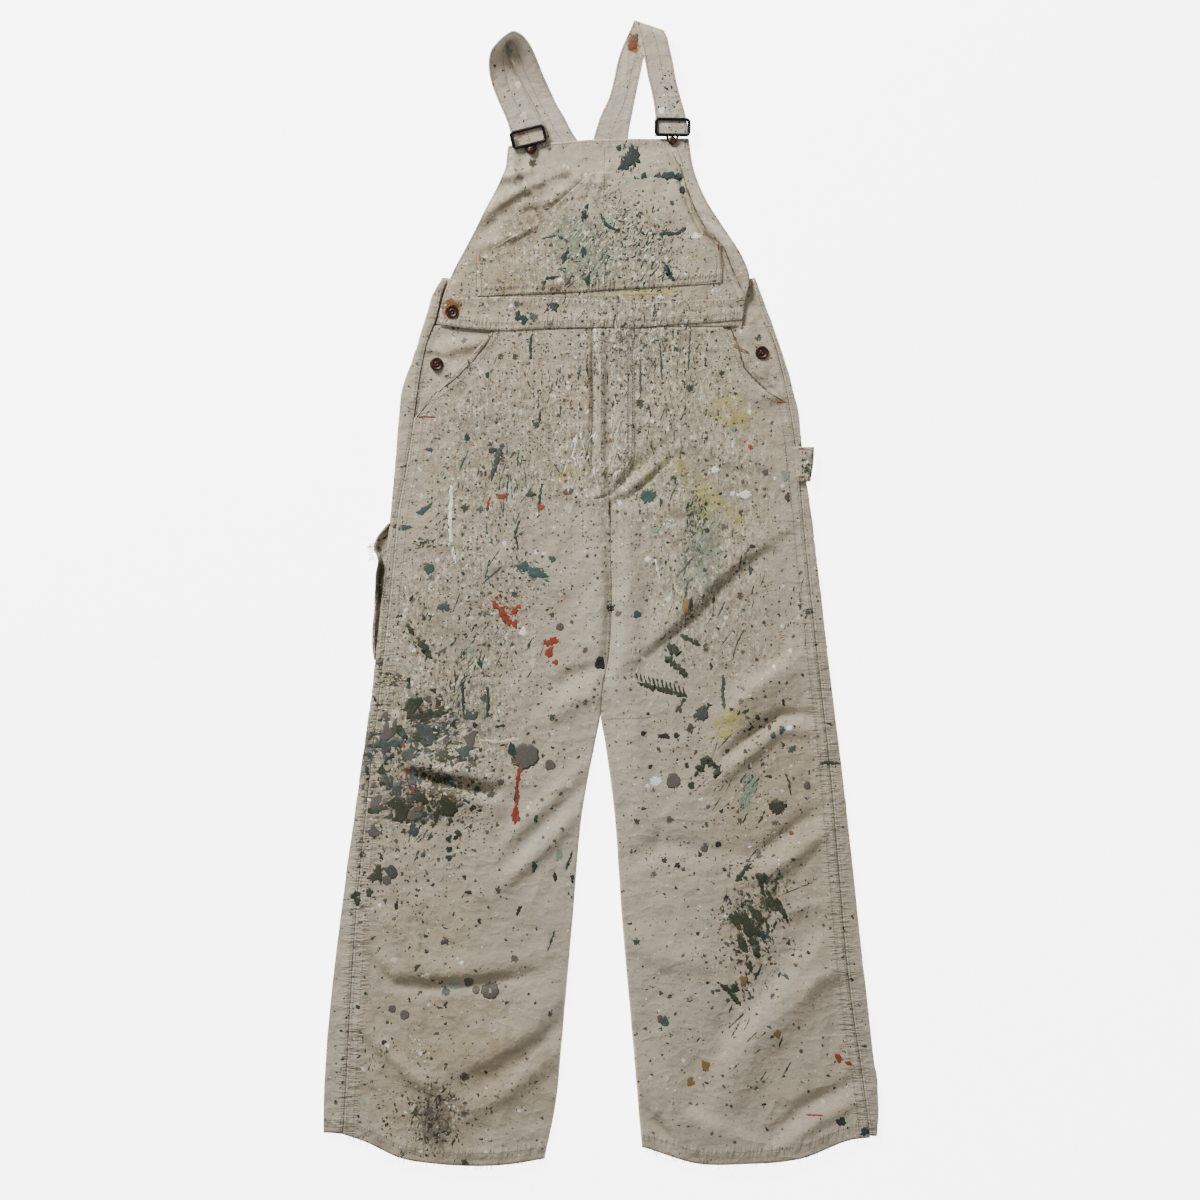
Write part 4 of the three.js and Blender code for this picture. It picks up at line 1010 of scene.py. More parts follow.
# A round blot is (x, y, radius, colour); another has (x, y, half width, half height, turn, colour). A
# stroke is (colour, width, path).
BLOTS = [
    (179, -405, 7, 17, 32, OLIVE), (190, -393, 5, 11, 40, OLIVE), (206, -380, 3.5, 10, 35, OLIVE),
    (172, -428, 5, 11, 20, OLIVE), (181, -455, 4, 8, 15, OLIVE), (163, -482, 5, 6, 0, OLIVE),
    (196, -417, 4, 8, 30, PINE), (168, -396, 4, 9, 25, OLIVE), (-246, -167, 4.9, 6.1, 0, OLIVE),
    (-285, -210, 8.5, 26.8, -4, SLATE), (-216, -169, 8.5, 7.3, 20, SLATE), (-214, -69, 3.7, 7.3, 10, PINE),
    (-237, -219, 2.4, 6.1, 0, BRICK), (-229, -241, 2.4, 4.9, 0, BRICK), (-240, -186, 2.4, 3.7, 0, BRICK),
    (-185, -262, 11.0, 12.2, 30, OLIVE), (-243, -276, 4.9, OLIVE), (-228, -291, 6.1, SLATE),
    (-92, -199, 16.3, 15.9, 0, GREY), (-107, -193, 5.5, 9.8, 10, PINE), (-104, -271, 5.5, 10.4, 0, BRICK),
    (-62, -210, 6.6, GREY), (-122, -231, 4.3, GREY), (-273, -343, 7.3, 11.0, -25, OLIVE),
    (-282, -365, 4.3, 6.1, 0, OLIVE), (-261, -350, 6.1, GREY), (-298, -371, 6.1, 8.5, 15, OLIVE),
    (-185, -313, 3.7, PINE), (-185, -323, 3.7, PINE), (-56, -346, 2.4, 6.1, 10, BLACK),
    (-35, -348, 2.4, 4.9, 0, BLACK), (-161, -365, 4.9, 2.4, 0, BLACK), (-100, -387, 2.4, 6.1, -20, BLACK),
    (-81, -334, 3.7, 6.1, 0, TEAL), (-51, -319, 4.9, 7.3, 0, SAGE), (-38, -235, 4.9, CREAM),
    (122, -148, 7.3, 11.0, -35, SLATE), (156, -152, 7.3, 4.9, 20, YELLOW), (151, -171, 8.5, 6.1, 0, YELLOW),
    (77, -175, 7.3, 3.7, 0, BLACK), (92, -174, 3.7, BLACK), (95, -142, 3.7, 6.1, 0, BROWN),
    (109, -163, 3.7, BROWN), (110, -234, 3.7, 4.9, 0, OLIVE), (67, -230, 7.3, 6.1, 0, WHITE),
    (57, -236, 3.0, 2.4, 0, WHITE), (88, -229, 8.5, 9.8, 0, GREY), (251, -235, 4.3, 5.5, 0, GREY),
    (215, -262, 11.0, 8.5, 0, OLIVE), (184, -164, 2.4, BLACK), (194, -164, 2.4, BLACK),
    (205, -164, 2.4, 3.7, 0, BLACK), (220, -167, 3.7, 4.9, 0, TEAL), (209, -174, 3.7, TEAL),
    (229, -165, 3.7, WHITE), (196, -348, 7.3, OLIVE), (163, -400, 5.0, 9.0, 40, OLIVE),
    (77, -326, 3.7, BLACK), (93, -332, 3.7, BLACK), (126, -312, 4.9, GREY), (143, -307, 3.7, BLACK),
    (232, -293, 3.0, RUST), (104, -18, 5.0, 9.8, 10, OCHRE), (173, -473, 4.9, 7.3, 0, OCHRE),
    (127, -576, 4.3, 7.3, 10, OCHRE), (109, -596, 4.9, 6.1, 0, OCHRE), (214, -536, 4.9, OCHRE),
    (78, -523, 4.9, 6.1, 0, TEAL), (44, -27, 4.9, TEAL), (321, -656, 4.9, PINE),
    (289, -567, 3.7, 6.1, 20, BRICK), (301, -573, 4.9, 2.4, -20, BRICK), (332, -576, 3.7, 4.9, 0, BRICK),
    (292, -644, 6.1, 4.9, 0, PINE), (-135, -485, 11.0, 10.4, 0, GREY), (-161, -474, 6.1, GREY),
    (-152, -484, 4.9, GREY), (-254, -507, 4.9, GREY), (-239, -514, 6.1, GREY),
    (-264, -547, 3.0, 3.0, 45, BLACK), (38, 530, 10.0, 13.0, -22, PINE), (29, 519, 5.0, 6.0, 0, PINE),
    (26, 518, 6.1, 3.7, 20, PINE), (22, 541, 3.7, PINE), (94, 506, 6.1, 4.9, 0, PINE),
    (99, 490, 3.7, 4.9, 0, PINE), (52, 507, 3.7, PINE), (-44, 409, 3.7, 8.5, -25, PINE),
    (-21, 414, 3.7, 7.3, 0, PINE), (-17, 380, 3.7, 4.9, 0, PINE), (117, 434, 6.1, 3.7, 20, WHITE),
    (-94, 332, 4.9, 6.1, 0, PINE), (-57, 348, 6.1, PINE), (57, 117, 9.8, 7.3, 0, TEAL),
    (-215, 101, 11.0, 3.7, 35, TEAL), (-238, 79, 7.3, 3.7, 0, TEAL), (-209, 29, 6.1, TEAL),
    (-105, -38, 3.7, 6.1, 0, BRICK), (-60, -60, 8.5, 4.9, 20, BRICK), (-63, -73, 4.9, 7.3, 0, BRICK),
    (-55, -85, 3.7, BRICK), (-79, 24, 13.4, 6.1, -20, TEAL), (-94, 32, 7.3, 6.1, 0, TEAL),
    (-95, -48, 4.9, WHITE), (12, -19, 6.1, 4.9, 20, BLACK), (-1, -86, 6.1, 8.5, 0, BLACK),
    (-50, -42, 4.9, GREY), (66, 76, 4.9, 3.7, 0, SAGE), (-93, 580, 4.9, CREAM),
    (-100, 617, 3.7, 4.9, 0, CREAM), (-129, 639, 1.8, BLACK), (92, 607, 4.9, 9.8, 10, WHITE),
    (74, 586, 3.7, 4.9, 0, WHITE), (40, 671, 5.0, 9.0, 0, RUST), (43, 676, 3.0, 5.0, 0, BROWN),
    (36, 665, 3.0, 5.0, 20, RUST), (-121, 117, 4.9, 3.7, 0, BRICK), (-73, 104, 4.9, 3.7, 0, BRICK),
    (139, 149, 4.9, 3.7, 0, WHITE), (-132, 173, 4.9, 3.7, 0, PINE), (184, 56, 3.7, 2.4, 0, BLACK),
    (109, -15, 3.7, 7.3, 0, BLACK), (-190, -18, 8.5, 4.9, -15, SLATE), (57, 40, 3.7, WHITE),
    (82, -9, 3.7, CREAM), (72, -519, 3.7, 4.9, 0, GREY), (-178, -479, 8.5, 3.7, 0, SAGE),
    (-251, -448, 4.9, 3.7, 0, CREAM), (-212, -467, 4.9, 3.7, 0, CREAM), (-148, -400, 2.4, 3.7, 0, BLACK),
    (-249, -381, 2.4, 4.9, 0, BLACK), (-59, 40, 3.7, TEAL), (-138, 265, 2.5, 4, 0, PINE),
    (-163, 189, 3.5, 5, 0, PINE), (-209, 174, 5, 2.5, 0, TEAL), (-84, 119, 6, 3, 10, OLIVE),
    (-44, 121, 4, 2, -20, BRICK), (182, 177, 3, BRICK), (200, 146, 4, GREY), (176, 119, 8, 5, 0, WHITE),
    (224, 143, 5, 7, 20, SAGE), (227, 116, 3.5, 6, 0, BROWN), (182, 27, 2.8, 5.5, 0, SLATE),
    (126, 27, 2.6, PINE), (137, -9, 2, 5, -10, PINE), (92, -19, 2, BLACK), (111, -29, 3, 2, 0, BLACK),
    (73, 110, 2, 5, 0, PINE), (-101, 336, 4, 7, 0, PINE),
]
STROKES = [
    (TEAL, 7.3, ((-284, -186), (-255, -184), (-227, -181))),
    (OLIVE, 7.3, ((-235, -153), (-211, -148), (-188, -146))),
    (PINE, 3.7, ((-168, -108), (-168, -131), (-167, -149))),
    (PINE, 3.7, ((-138, -114), (-137, -131), (-138, -152))),
    (BRICK, 4.2, ((-98, -210), (-102, -230), (-102, -248), (-104, -265))),
    (OLIVE, 6.0, ((96, -50), (107, -58), (123, -65))), (OLIVE, 9.0, ((80, -64), (90, -69), (97, -77))),
    (OLIVE, 8.5, ((77, -78), (91, -90), (105, -102))),
    (OLIVE, 6.1, ((44, -110), (66, -117), (87, -121), (104, -127))),
    *[(OLIVE, 2.4, ((45 + 5.2 * k, -108 - 1.7 * k), (42 + 5.2 * k, -97 - 1.5 * k))) for k in range(12)],
    (OLIVE, 4.0, ((194, -349), (198, -370))), (OLIVE, 4.5, ((213, -370), (221, -386), (228, -403))),
    (OLIVE, 5.0, ((156, -391), (163, -402), (171, -412))),
    (OLIVE, 8.5, ((175, -403), (184, -424), (192, -445))), (OLIVE, 4.0, ((200, -395), (204, -416))),
    (OLIVE, 6.0, ((145, -475), (158, -488), (171, -504))),
    (OCHRE, 5.0, ((160, 301), (170, 296), (180, 291))), (OLIVE, 4.0, ((216, -352), (209, -364))),
    (PINE, 3.0, ((196, -452), (187, -472))), (SLATE, 4.3, ((149, -101), (148, -121), (150, -142))),
    (OLIVE, 8.5, ((115, -223), (129, -202), (143, -215), (138, -226))),
    (OLIVE, 4.9, ((267, -208), (279, -207), (293, -209))),
    (OLIVE, 2.4, ((224, -219), (229, -231), (231, -247))),
    (OLIVE, 4.9, ((201, -363), (212, -379), (226, -396))),
    (OLIVE, 6.1, ((182, -330), (172, -341), (165, -352))),
    (BLACK, 1.2, ((218, -369), (237, -361), (257, -353))), (BRICK, 2.4, ((249, -636), (270, -636))),
    (PINE, 7.3, ((65, 506), (82, 508), (101, 507))), (PINE, 4.9, ((70, 436), (92, 437), (104, 445))),
    (PINE, 6.1, ((77, 400), (82, 390), (90, 379))), (PINE, 6.1, ((-16, 472), (-20, 462), (-22, 451))),
    (PINE, 3.7, ((-67, 382), (-51, 384))), (YELLOW, 3.0, ((24, 363), (51, 364), (81, 364))),
    (SLATE, 6.1, ((-120, 182), (-127, 159), (-135, 136))),
    (WHITE, 4.3, ((-183, 131), (-182, 113), (-184, 88), (-183, 64))),
    (BRICK, 7.3, ((-133, -10), (-120, -24), (-110, -42))), (BRICK, 7.3, ((-98, -15), (-110, -25))),
    (PINE, 3.7, ((-1, 462), (6, 447), (21, 440))), (TEAL, 3.0, ((-73, 430), (-55, 435), (-38, 426))),
    (BROWN, 1.8, ((175, -44), (166, -60), (160, -82))), (WHITE, 2.4, ((66, 40), (72, 15))),
    (CREAM, 3.7, ((-148, -180), (-123, -182), (-99, -178))), (BRICK, 2.4, ((-135, 117), (-139, 101))),
    (OLIVE, 3.0, ((-99, 88), (-105, 69), (-101, 54))), (SLATE, 2.4, ((48, 284), (48, 241))),
    (SLATE, 2.4, ((109, 320), (106, 269))), (SLATE, 2.4, ((72, 308), (74, 259))),
    (PINE, 3.4, ((-84, 315), (-86, 300), (-85, 283))), (PINE, 2.5, ((-74, 222), (-75, 206))),
    (PINE, 2.5, ((-72, 133), (-74, 118), (-76, 97))), (SLATE, 2.5, ((-120, 32), (-133, 21), (-145, 10))),
    (OLIVE, 6.0, ((-236, -38), (-228, -52))), (OLIVE, 8.0, ((-222, -58), (-214, -68), (-207, -80))),
    (PINE, 3.0, ((-34, -314), (-43, -339))), (PINE, 2.4, ((-56, -412), (-65, -436))),
]
# Dry strokes, broken into bristle lines: middle, length, width, direction of the stroke, colour, and
# a measure of how many bristles.
SCRUBS = [
    (0, 230, 160, 120, 88, PINE, 8), (-110, 120, 160, 130, 86, TEAL, 12), (120, 60, 160, 130, 80, SLATE, 6),
    (-150, -60, 150, 130, 70, PINE, 9), (170, -250, 150, 120, 60, OLIVE, 10),
    (-30, 380, 120, 60, 60, PINE, 10), (-200, -330, 120, 110, 60, SLATE, 8),
    (180, -560, 120, 120, 60, OLIVE, 6), (-210, -155, 60, 26, 5, SLATE, 14),
    (-205, -150, 60, 24, 5, OLIVE, 22), (-196, -175, 50, 40, -15, OLIVE, 26),
    (-234, -250, 60, 34, 20, OLIVE, 34), (-186, -255, 40, 40, 40, OLIVE, 26),
    (-268, -215, 30, 50, 90, SLATE, 10), (-170, -110, 70, 26, 75, PINE, 14),
    (-222, -268, 26, 20, 20, BRICK, 8), (-80, 25, 40, 22, -20, TEAL, 16),
    (-113, -20, 34, 14, -55, BRICK, 8), (128, 45, 100, 40, 88, SAGE, 8), (118, 96, 50, 26, 88, TEAL, 26),
    (122, 112, 56, 22, 85, YELLOW, 14), (82, 84, 16, 8, 0, WHITE, 8), (47, 87, 18, 8, 0, WHITE, 8),
    (120, 88, 16, 10, 80, WHITE, 6), (159, 222, 44, 30, 0, YELLOW, 12), (-38, 145, 26, 12, 10, YELLOW, 8),
    (56, 145, 44, 18, 100, YELLOW, 12), (158, -155, 46, 22, 20, YELLOW, 14),
    (179, -243, 40, 12, 82, SAGE, 46), (183, -405, 62, 30, -55, OLIVE, 34),
    (205, -378, 50, 18, -60, OLIVE, 18), (178, -478, 40, 26, -60, OLIVE, 16),
    (164, -395, 34, 30, 60, PINE, 14), (-215, 58, 34, 14, 0, OLIVE, 26),
    (-255, -107, 34, 16, 10, OLIVE, 20), (-218, -64, 34, 16, -50, OLIVE, 14),
    (-93, -5, 18, 8, 0, YELLOW, 6), (172, 86, 26, 10, 80, YELLOW, 10), (60, 46, 30, 14, 0, YELLOW, 8),
    (118, 406, 20, 8, 0, YELLOW, 8), (215, -54, 20, 12, 0, OCHRE, 6), (110, 90, 50, 24, 85, PINE, 10),
    (60, 430, 60, 40, 70, PINE, 16), (30, 452, 60, 40, 60, PINE, 18), (-42, 424, 56, 40, 50, SAGE, 20),
    (-5, 400, 60, 50, 70, TEAL, 14), (70, 395, 60, 50, 60, PINE, 20), (-40, 405, 40, 30, 20, PINE, 8),
    (64, 328, 66, 80, 88, SLATE, 14), (95, 290, 70, 90, 88, OLIVE, 14), (20, 300, 60, 60, 85, SLATE, 9),
    (100, 200, 80, 80, 88, OLIVE, 14), (-60, 260, 60, 80, 80, BROWN, 12),
    (-120, 150, 60, 80, 80, BROWN, 12), (-205, -645, 70, 50, 80, BROWN, 16),
    (-190, -615, 50, 30, 60, BLACK, 6), (-192, 80, 40, 30, 60, SLATE, 10), (60, 300, 60, 80, 88, CREAM, 28),
    (16, 190, 100, 12, 90, CREAM, 16), (-30, 150, 60, 20, 80, CREAM, 8), (0, 150, 80, 120, 80, CREAM, 16),
    (33, 526, 36, 24, 82, PINE, 34), (-24, 186, 70, 24, 75, WHITE, 14), (16, 152, 60, 40, 60, WHITE, 12),
    (20, 200, 50, 26, 85, SAGE, 8), (-180, 60, 60, 8, 90, WHITE, 6), (100, 240, 70, 90, 85, CREAM, 14),
    (-20, 440, 70, 60, 60, CREAM, 22), (40, 430, 60, 60, 40, CREAM, 16),
    (-185, -190, 90, 80, 30, CREAM, 34), (-230, -20, 60, 60, 70, BLACK, 7),
    (-160, -60, 80, 70, 60, OLIVE, 9), (240, -20, 60, 20, 85, OLIVE, 8), (250, 150, 24, 12, 80, PINE, 8),
    (-275, -560, 60, 24, 88, BROWN, 8), (30, 250, 30, 60, 88, BROWN, 14), (190, 20, 90, 50, 80, BROWN, 6),
    (100, -20, 90, 60, 80, BROWN, 6), (60, -90, 80, 50, 70, CREAM, 12),
]
# Spatter thrown in clusters: middle, spread across and along, number, least and greatest radius, colours.
DARK = (BLACK, OLIVE, PINE, SLATE, BROWN, GREY)
PALE = (CREAM, WHITE, CREAM, SAGE)
SPATTER = [
    (-205, -190, 62, 62, 330, 0.7, 4.2, DARK), (-205, -190, 70, 62, 120, 0.5, 2.4, PALE),
    (-190, -210, 90, 110, 160, 0.7, 3.0, DARK), (-160, 0, 75, 100, 260, 0.6, 2.2, DARK),
    (-150, 0, 80, 90, 90, 0.5, 2.0, PALE), (-110, 200, 80, 70, 230, 0.5, 1.9, DARK),
    (-110, 190, 80, 70, 90, 0.5, 1.7, PALE), (40, 300, 70, 60, 260, 0.5, 2.0, DARK),
    (40, 300, 80, 60, 140, 0.5, 1.9, PALE), (25, 420, 55, 50, 170, 0.5, 2.0, DARK),
    (25, 420, 60, 45, 90, 0.5, 1.7, PALE), (120, 170, 70, 80, 160, 0.5, 2.0, DARK),
    (110, 20, 70, 80, 140, 0.6, 2.1, DARK), (150, -200, 70, 90, 170, 0.7, 3.2, DARK),
    (170, -220, 70, 80, 60, 0.5, 2.2, PALE), (185, -400, 30, 55, 150, 0.7, 3.4, DARK),
    (180, -450, 80, 110, 110, 0.7, 2.6, DARK), (-230, -380, 60, 90, 110, 0.8, 3.4, DARK),
    (-190, -600, 80, 60, 150, 0.6, 2.4, DARK), (-205, -640, 35, 35, 130, 0.6, 2.4, DARK),
    (120, -600, 90, 60, 80, 0.6, 2.4, DARK), (300, -560, 20, 110, 40, 0.8, 2.6, DARK),
    (-300, -560, 25, 90, 40, 0.7, 2.2, DARK), (0, 100, 140, 200, 160, 0.6, 2.0, DARK),
    (60, -300, 120, 200, 120, 0.6, 2.0, DARK), (96, 590, 14, 34, 30, 0.6, 2.2, DARK),
    (84, 608, 12, 22, 46, 0.5, 1.7, DARK), (88, 600, 10, 30, 20, 0.7, 2.6, (WHITE, CREAM)),
    (-115, 600, 14, 34, 12, 0.6, 1.8, DARK), (60, 130, 60, 60, 40, 0.8, 2.6, (OCHRE, SAGE)),
    (-60, 0, 80, 70, 12, 0.9, 2.4, (BRICK,)), (-190, -240, 30, 30, 12, 0.8, 2.0, (BRICK, OCHRE)),
    (255, 100, 12, 120, 30, 0.7, 2.2, DARK), (-200, -300, 100, 60, 60, 1.0, 3.0, (GREY, SLATE, GREY)),
    (-215, -180, 45, 32, 44, 3.0, 11.0, (SLATE, OLIVE, GREY, SLATE)),
    (-215, -255, 45, 28, 44, 3.0, 10.0, (OLIVE, OLIVE, SLATE, GREY)),
    (-262, -240, 20, 50, 26, 3.0, 8.0, (SLATE, GREY)),
    (20, 425, 55, 38, 260, 0.5, 2.2, (PINE, TEAL, BLACK, CREAM, SAGE, WHITE)),
    (60, 300, 70, 60, 300, 0.5, 2.0, DARK), (-227, -558, 7, 11, 26, 0.5, 2.0, (WHITE, CREAM)),
    (138, 365, 6, 6, 26, 0.5, 2.0, (WHITE, CREAM)),
    (45, 440, 26, 36, 150, 0.5, 2.0, (PINE, PINE, BLACK, TEAL)),
    (-80, 440, 50, 50, 70, 0.5, 1.6, (CREAM, BROWN, WHITE)),
    (252, 155, 8, 16, 26, 0.5, 1.6, (PINE, BLACK, CREAM)), (-60, 300, 90, 50, 160, 0.5, 1.8, DARK),
    (-160, 100, 70, 70, 160, 0.5, 2.0, DARK),
]
dried, tree, where = start_material("dried_paint")
tint = tree.attribute("paint", "Color")
thin = tree.noise(where, 2.5, 3.0, 0.7)
dusty = tree.wash(tint, tree.step(0.56, 0.72, thin), 0.38, (0.33, 0.29, 0.22))
dress(tree, dusty, thin, 0.5, 0.85, thin, 0.6, 0.0005)

random = np.random.default_rng(41)
blots, brushwork, dark_spatter, pale_spatter = Skin(), Skin(), Skin(), Skin()
for x, y, wide, *shape, color in BLOTS:
    high, turn = shape or (wide, 0)
    blots.blot(x, y, wide, high, turn, color, random, ragged=0.05 if color == GREY else 0.16,
               count=36 if wide > 7 else 18)
for color, wide, path in STROKES:
    blots.stroke(path, wide, color, random)
for x, y, long, wide, turn, color, count in SCRUBS:
    c, s = math.cos(math.radians(turn)), math.sin(math.radians(turn))
    for _ in range(int(count * 2.2)):
        u, v = random.normal(0, long * 0.28), random.normal(0, wide * 0.30)
        reach = long * random.uniform(0.02, 0.09)
        slant = reach * random.normal(0, 0.25)
        ends = [(u - reach, v - slant), (u, v + random.normal(0, 0.5)), (u + reach, v + slant)]
        path = [(x + a * c - b * s, y + a * s + b * c) for a, b in ends]
        brushwork.stroke(path, random.uniform(0.6, 2.0), color, random, rise=0.15, ragged=0.4, pace=1.8)
for x, y, wide, high, count, least, most, colors in SPATTER:
    spatter = dark_spatter if colors[0] in DARK else pale_spatter
    for _ in range(count):
        size = least + (most - least) * random.random() ** 2.6
        stretch = random.uniform(0.65, 1.5)
        spatter.blot(random.normal(x, wide * 0.8), random.normal(y, high * 0.8), size * stretch,
                     size / stretch, random.uniform(0, 180), colors[random.integers(len(colors))], random,
                     rise=0.16, ragged=0.26, count=10 if size > 2.4 else 7)
blots.piece("paint_blots", dried)
brushwork.piece("paint_brushwork", dried)
dark_spatter.piece("paint_spatter_dark", dried)
pale_spatter.piece("paint_spatter_pale", dried)

# Rows of stitches that cross a panel, and the folds beside them: a brown line in the dent, soil and painted
# shade together, with pale threads laid along it. Bar tacks of red thread hold the ends of the pocket mouths.
# Each row is a path and its weight, and a fold of weight 3 has no threads: its dark line is painted shadow
# with soil.
SEWN = [
    (((-151, 411), (-152, 385), (-152, 361)), 1), (((-144.5, 411), (-145, 388), (-146, 362)), 1),
    (((147.5, 420), (147.8, 398), (147, 378)), 1), (((140, 416), (141, 398), (138, 383)), 1),
    (((-151, 361), (-70, 366), (10, 367), (80, 371), (148, 378)), 1), (((4, 545), (3, 450), (5, 330)), 1),
    (((87, 534), (98, 514), (103, 495), (113, 468), (127, 442), (139, 430), (150, 418), (160, 392),
      (174, 364)), 3),
    (((91, 543), (97, 528), (104, 507)), 1), (((166, 356), (175, 356)), 3), (((173, 354), (173.5, 332)), 2),
    (((101, 343), (128, 343)), 2), (((101, 348), (101, 341)), 2),
    (((38, 320), (38, 185), (34, 145), (16, 123), (-4, 118)), 1),
    (((32, 320), (32, 186), (28, 150), (12, 130), (-4, 125)), 1),
    (((-10, 321), (-10, 231), (-12, 159), (-6, 125)), 2), (((0, 321), (0, 231), (0, 130)), 1),
    (((-129, 319), (-140, 303), (-155, 283), (-173, 264), (-203, 241), (-224, 214)), 3),
    (((-124, 316), (-135, 299), (-150, 279), (-168, 260), (-198, 237), (-220, 208)), 1),
    (((153, 332), (164, 308), (175, 272), (192, 255), (205, 242), (223, 232)), 3),
    (((148, 328), (159, 304), (170, 268), (188, 250), (203, 237), (222, 226)), 1),
    (((223, 185), (228, 137), (232, 103)), 1), (((6, -154), (34, -153), (62, -152)), 1),
    (((-278, -66), (-262, -66)), 2), (((-256, 66), (-262, 30), (-266, -10)), 1),
    (((12, 119), (12, 30), (9, -70), (0, -146)), 1), (((-260, 40), (-263, 0), (-266, -40), (-268, -64)), 1),
    (((241, 176), (262, 173)), 1), (((241, 138), (260, 139)), 1), (((-145, 361), (-60, 360), (12, 360)), 1),
]
TACKS = [
    ((-147.6, 412), (-147.6, 403)), ((142.7, 425), (142.7, 417)), ((-223, 214), (-202, 214)),
    ((213, 232), (225, 232)), ((240, 141), (247, 141)), ((240, 175), (247, 175)),
]
# The "soil" colour draws the dark line under each row and fold: soil and painted shade.
thread_and_shade_colors = {"soil": (0.085, 0.066, 0.042), "thread": (0.46, 0.40, 0.30), "tack": (0.25, 0.045, 0.022)}
FOLD, STITCH_MM = 3, 3.6
random = np.random.default_rng(8)
sewing = Skin()
for path, weight in SEWN:
    sewing.stroke(path, 0.45 + 0.5 * weight, thread_and_shade_colors["soil"], random,
                  rise=0.14 if weight < FOLD else 0.4, ragged=0.35, pace=3)
    if weight == FOLD:
        continue
    path = np.array(path, float)
    at = np.concatenate([[0], np.cumsum(np.hypot(*np.diff(path, axis=0).T))])
    for start in np.arange(1, at[-1] - 3, STITCH_MM):
        run = start + np.array([0, 1.2, 2.4])
        ends = np.stack([np.interp(run, at, path[:, 0]), np.interp(run, at, path[:, 1])], axis=1)
        sewing.stroke(ends, 0.8, thread_and_shade_colors["thread"], random, rise=0.45, ragged=0.05, pace=1.2)
for path in TACKS:
    sewing.stroke(path, 1.8, thread_and_shade_colors["tack"], random, rise=0.6, ragged=0.15, pace=1.2)


# Buckles: a rounded frame of blackened wire lies over the strap, a bar crosses it, and a loop hangs from
# its lower bar and hooks round the neck of the bib button.
def metal(name, base, worn, metallic, rough_low, rough_high, wear):
    """Dark metal with a worn or rusty second colour in soft patches."""
    material, tree, where = start_material(name)
    patches = tree.step(wear - 0.06, wear + 0.06, tree.noise(where, 3, 4.0, 0.65))
    color = tree.wash((*base, 1), patches, 1, worn)
    shader = dress(tree, color, patches, rough_low, rough_high, tree.noise(where, 0.8, 3.0, 0.6), 0.5, 0.0002)
    shader.inputs["Metallic"].default_value = metallic
    return material


def wire(skin, line, radius, color, closed=False, sides=8):
    """A round wire along a line of points, either ringed or capped."""
    line = np.array(line, float)
    ahead = np.roll(line, -1, axis=0) - np.roll(line, 1, axis=0) if closed else np.gradient(line, axis=0)
    ahead /= np.linalg.norm(ahead, axis=1, keepdims=True)
    flat = np.stack([-ahead[:, 1], ahead[:, 0], np.zeros(len(line))], axis=1)
    flat /= np.maximum(np.linalg.norm(flat, axis=1, keepdims=True), 1e-6)
    up = np.cross(flat, ahead)
    turn = np.linspace(0, 2 * np.pi, sides, endpoint=False)[::-1, None]
    rings = line[:, None] + radius * (np.cos(turn) * flat[:, None] + np.sin(turn) * up[:, None])
    skin.rings(rings, color, closed)


black_wire = metal("black_wire", (0.010, 0.009, 0.008), (0.075, 0.055, 0.040), 0.65, 0.32, 0.6, 0.66)
HALF_WIDE, HALF_HIGH, CORNER = 20.2, 9.6, 3.6
outline = []
for sx, sy, quarter in ((1, 1, 0), (-1, 1, 1), (-1, -1, 2), (1, -1, 3)):
    angle = (quarter + np.linspace(0, 1, 7)) * np.pi / 2
    x = sx * (HALF_WIDE - CORNER) + CORNER * np.cos(angle)
    y = sy * (HALF_HIGH - CORNER) + CORNER * np.sin(angle)
    outline += np.stack([x, y], axis=1).tolist()
bar = [(-17, 1.5), (0, 1.5), (17, 1.5)]
loop = [(-6.5, -9.5), (-6.2, -12.5), (-5, -16), (-2.8, -19), (0, -20.2), (2.8, -19), (5, -16), (6.2, -12.5),
        (6.5, -9.5)]
for name, middle, turn in (("right", (-88.5, 554), 14), ("left", (87, 566), -1)):
    c, s = math.cos(math.radians(turn)), math.sin(math.radians(turn))
    skin = Skin()
    for points, z, radius in ((outline, 11.6, 1.9), (bar, 6.2, 1.4), (loop, 10.6, 1.5)):
        line = [(middle[0] + x * c - y * s, middle[1] + x * s + y * c, z) for x, y in points]
        wire(skin, line, radius, (0.01, 0.01, 0.01), closed=points is outline)
    made = skin.piece("buckle_wire_" + name, black_wire)
    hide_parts("buckle_" + name)

# Loose threads: the hems and the mouth of the tool pocket are frayed. Each thread is a thin wire that
# leaves the edge and droops towards the floor.
MISSED_HEIGHT = 3.0
frays = Skin()
for name, side in SIDES.items():
    for _ in range(46):
        share = random.uniform(0.02, 0.98)
        y = float(side["hem"](share))
        x = float(side["seam"](y) + (side["inner"](y) - side["seam"](y)) * share)
        reach, lean = random.uniform(1.5, 6.0), random.normal(0, 1.8)
        under = cloth([(x, y + 1.5)])
        z = (MISSED_HEIGHT if under is None else under[0]) - 0.8
        line = [(x, y + 2, z), (x + lean * 0.3, y - reach * 0.5, z - 0.4)]
        line.append((x + lean, y - reach, max(0.5, z - 1.6)))
        wire(frays, line, 0.26, thread_and_shade_colors["thread"], sides=5)
for _ in range(26):
    y = random.uniform(40, 62)
    reach, lean = random.uniform(2, 6), random.normal(0, 2.5)
    line = [(-276, y, 7.6), (-279 - reach * 0.5, y + lean * 0.5, 8.2), (-279 - reach, y + lean, 6.5)]
    wire(frays, line, 0.28, thread_and_shade_colors["thread"], sides=5)
frays.piece("frayed_threads", dried)

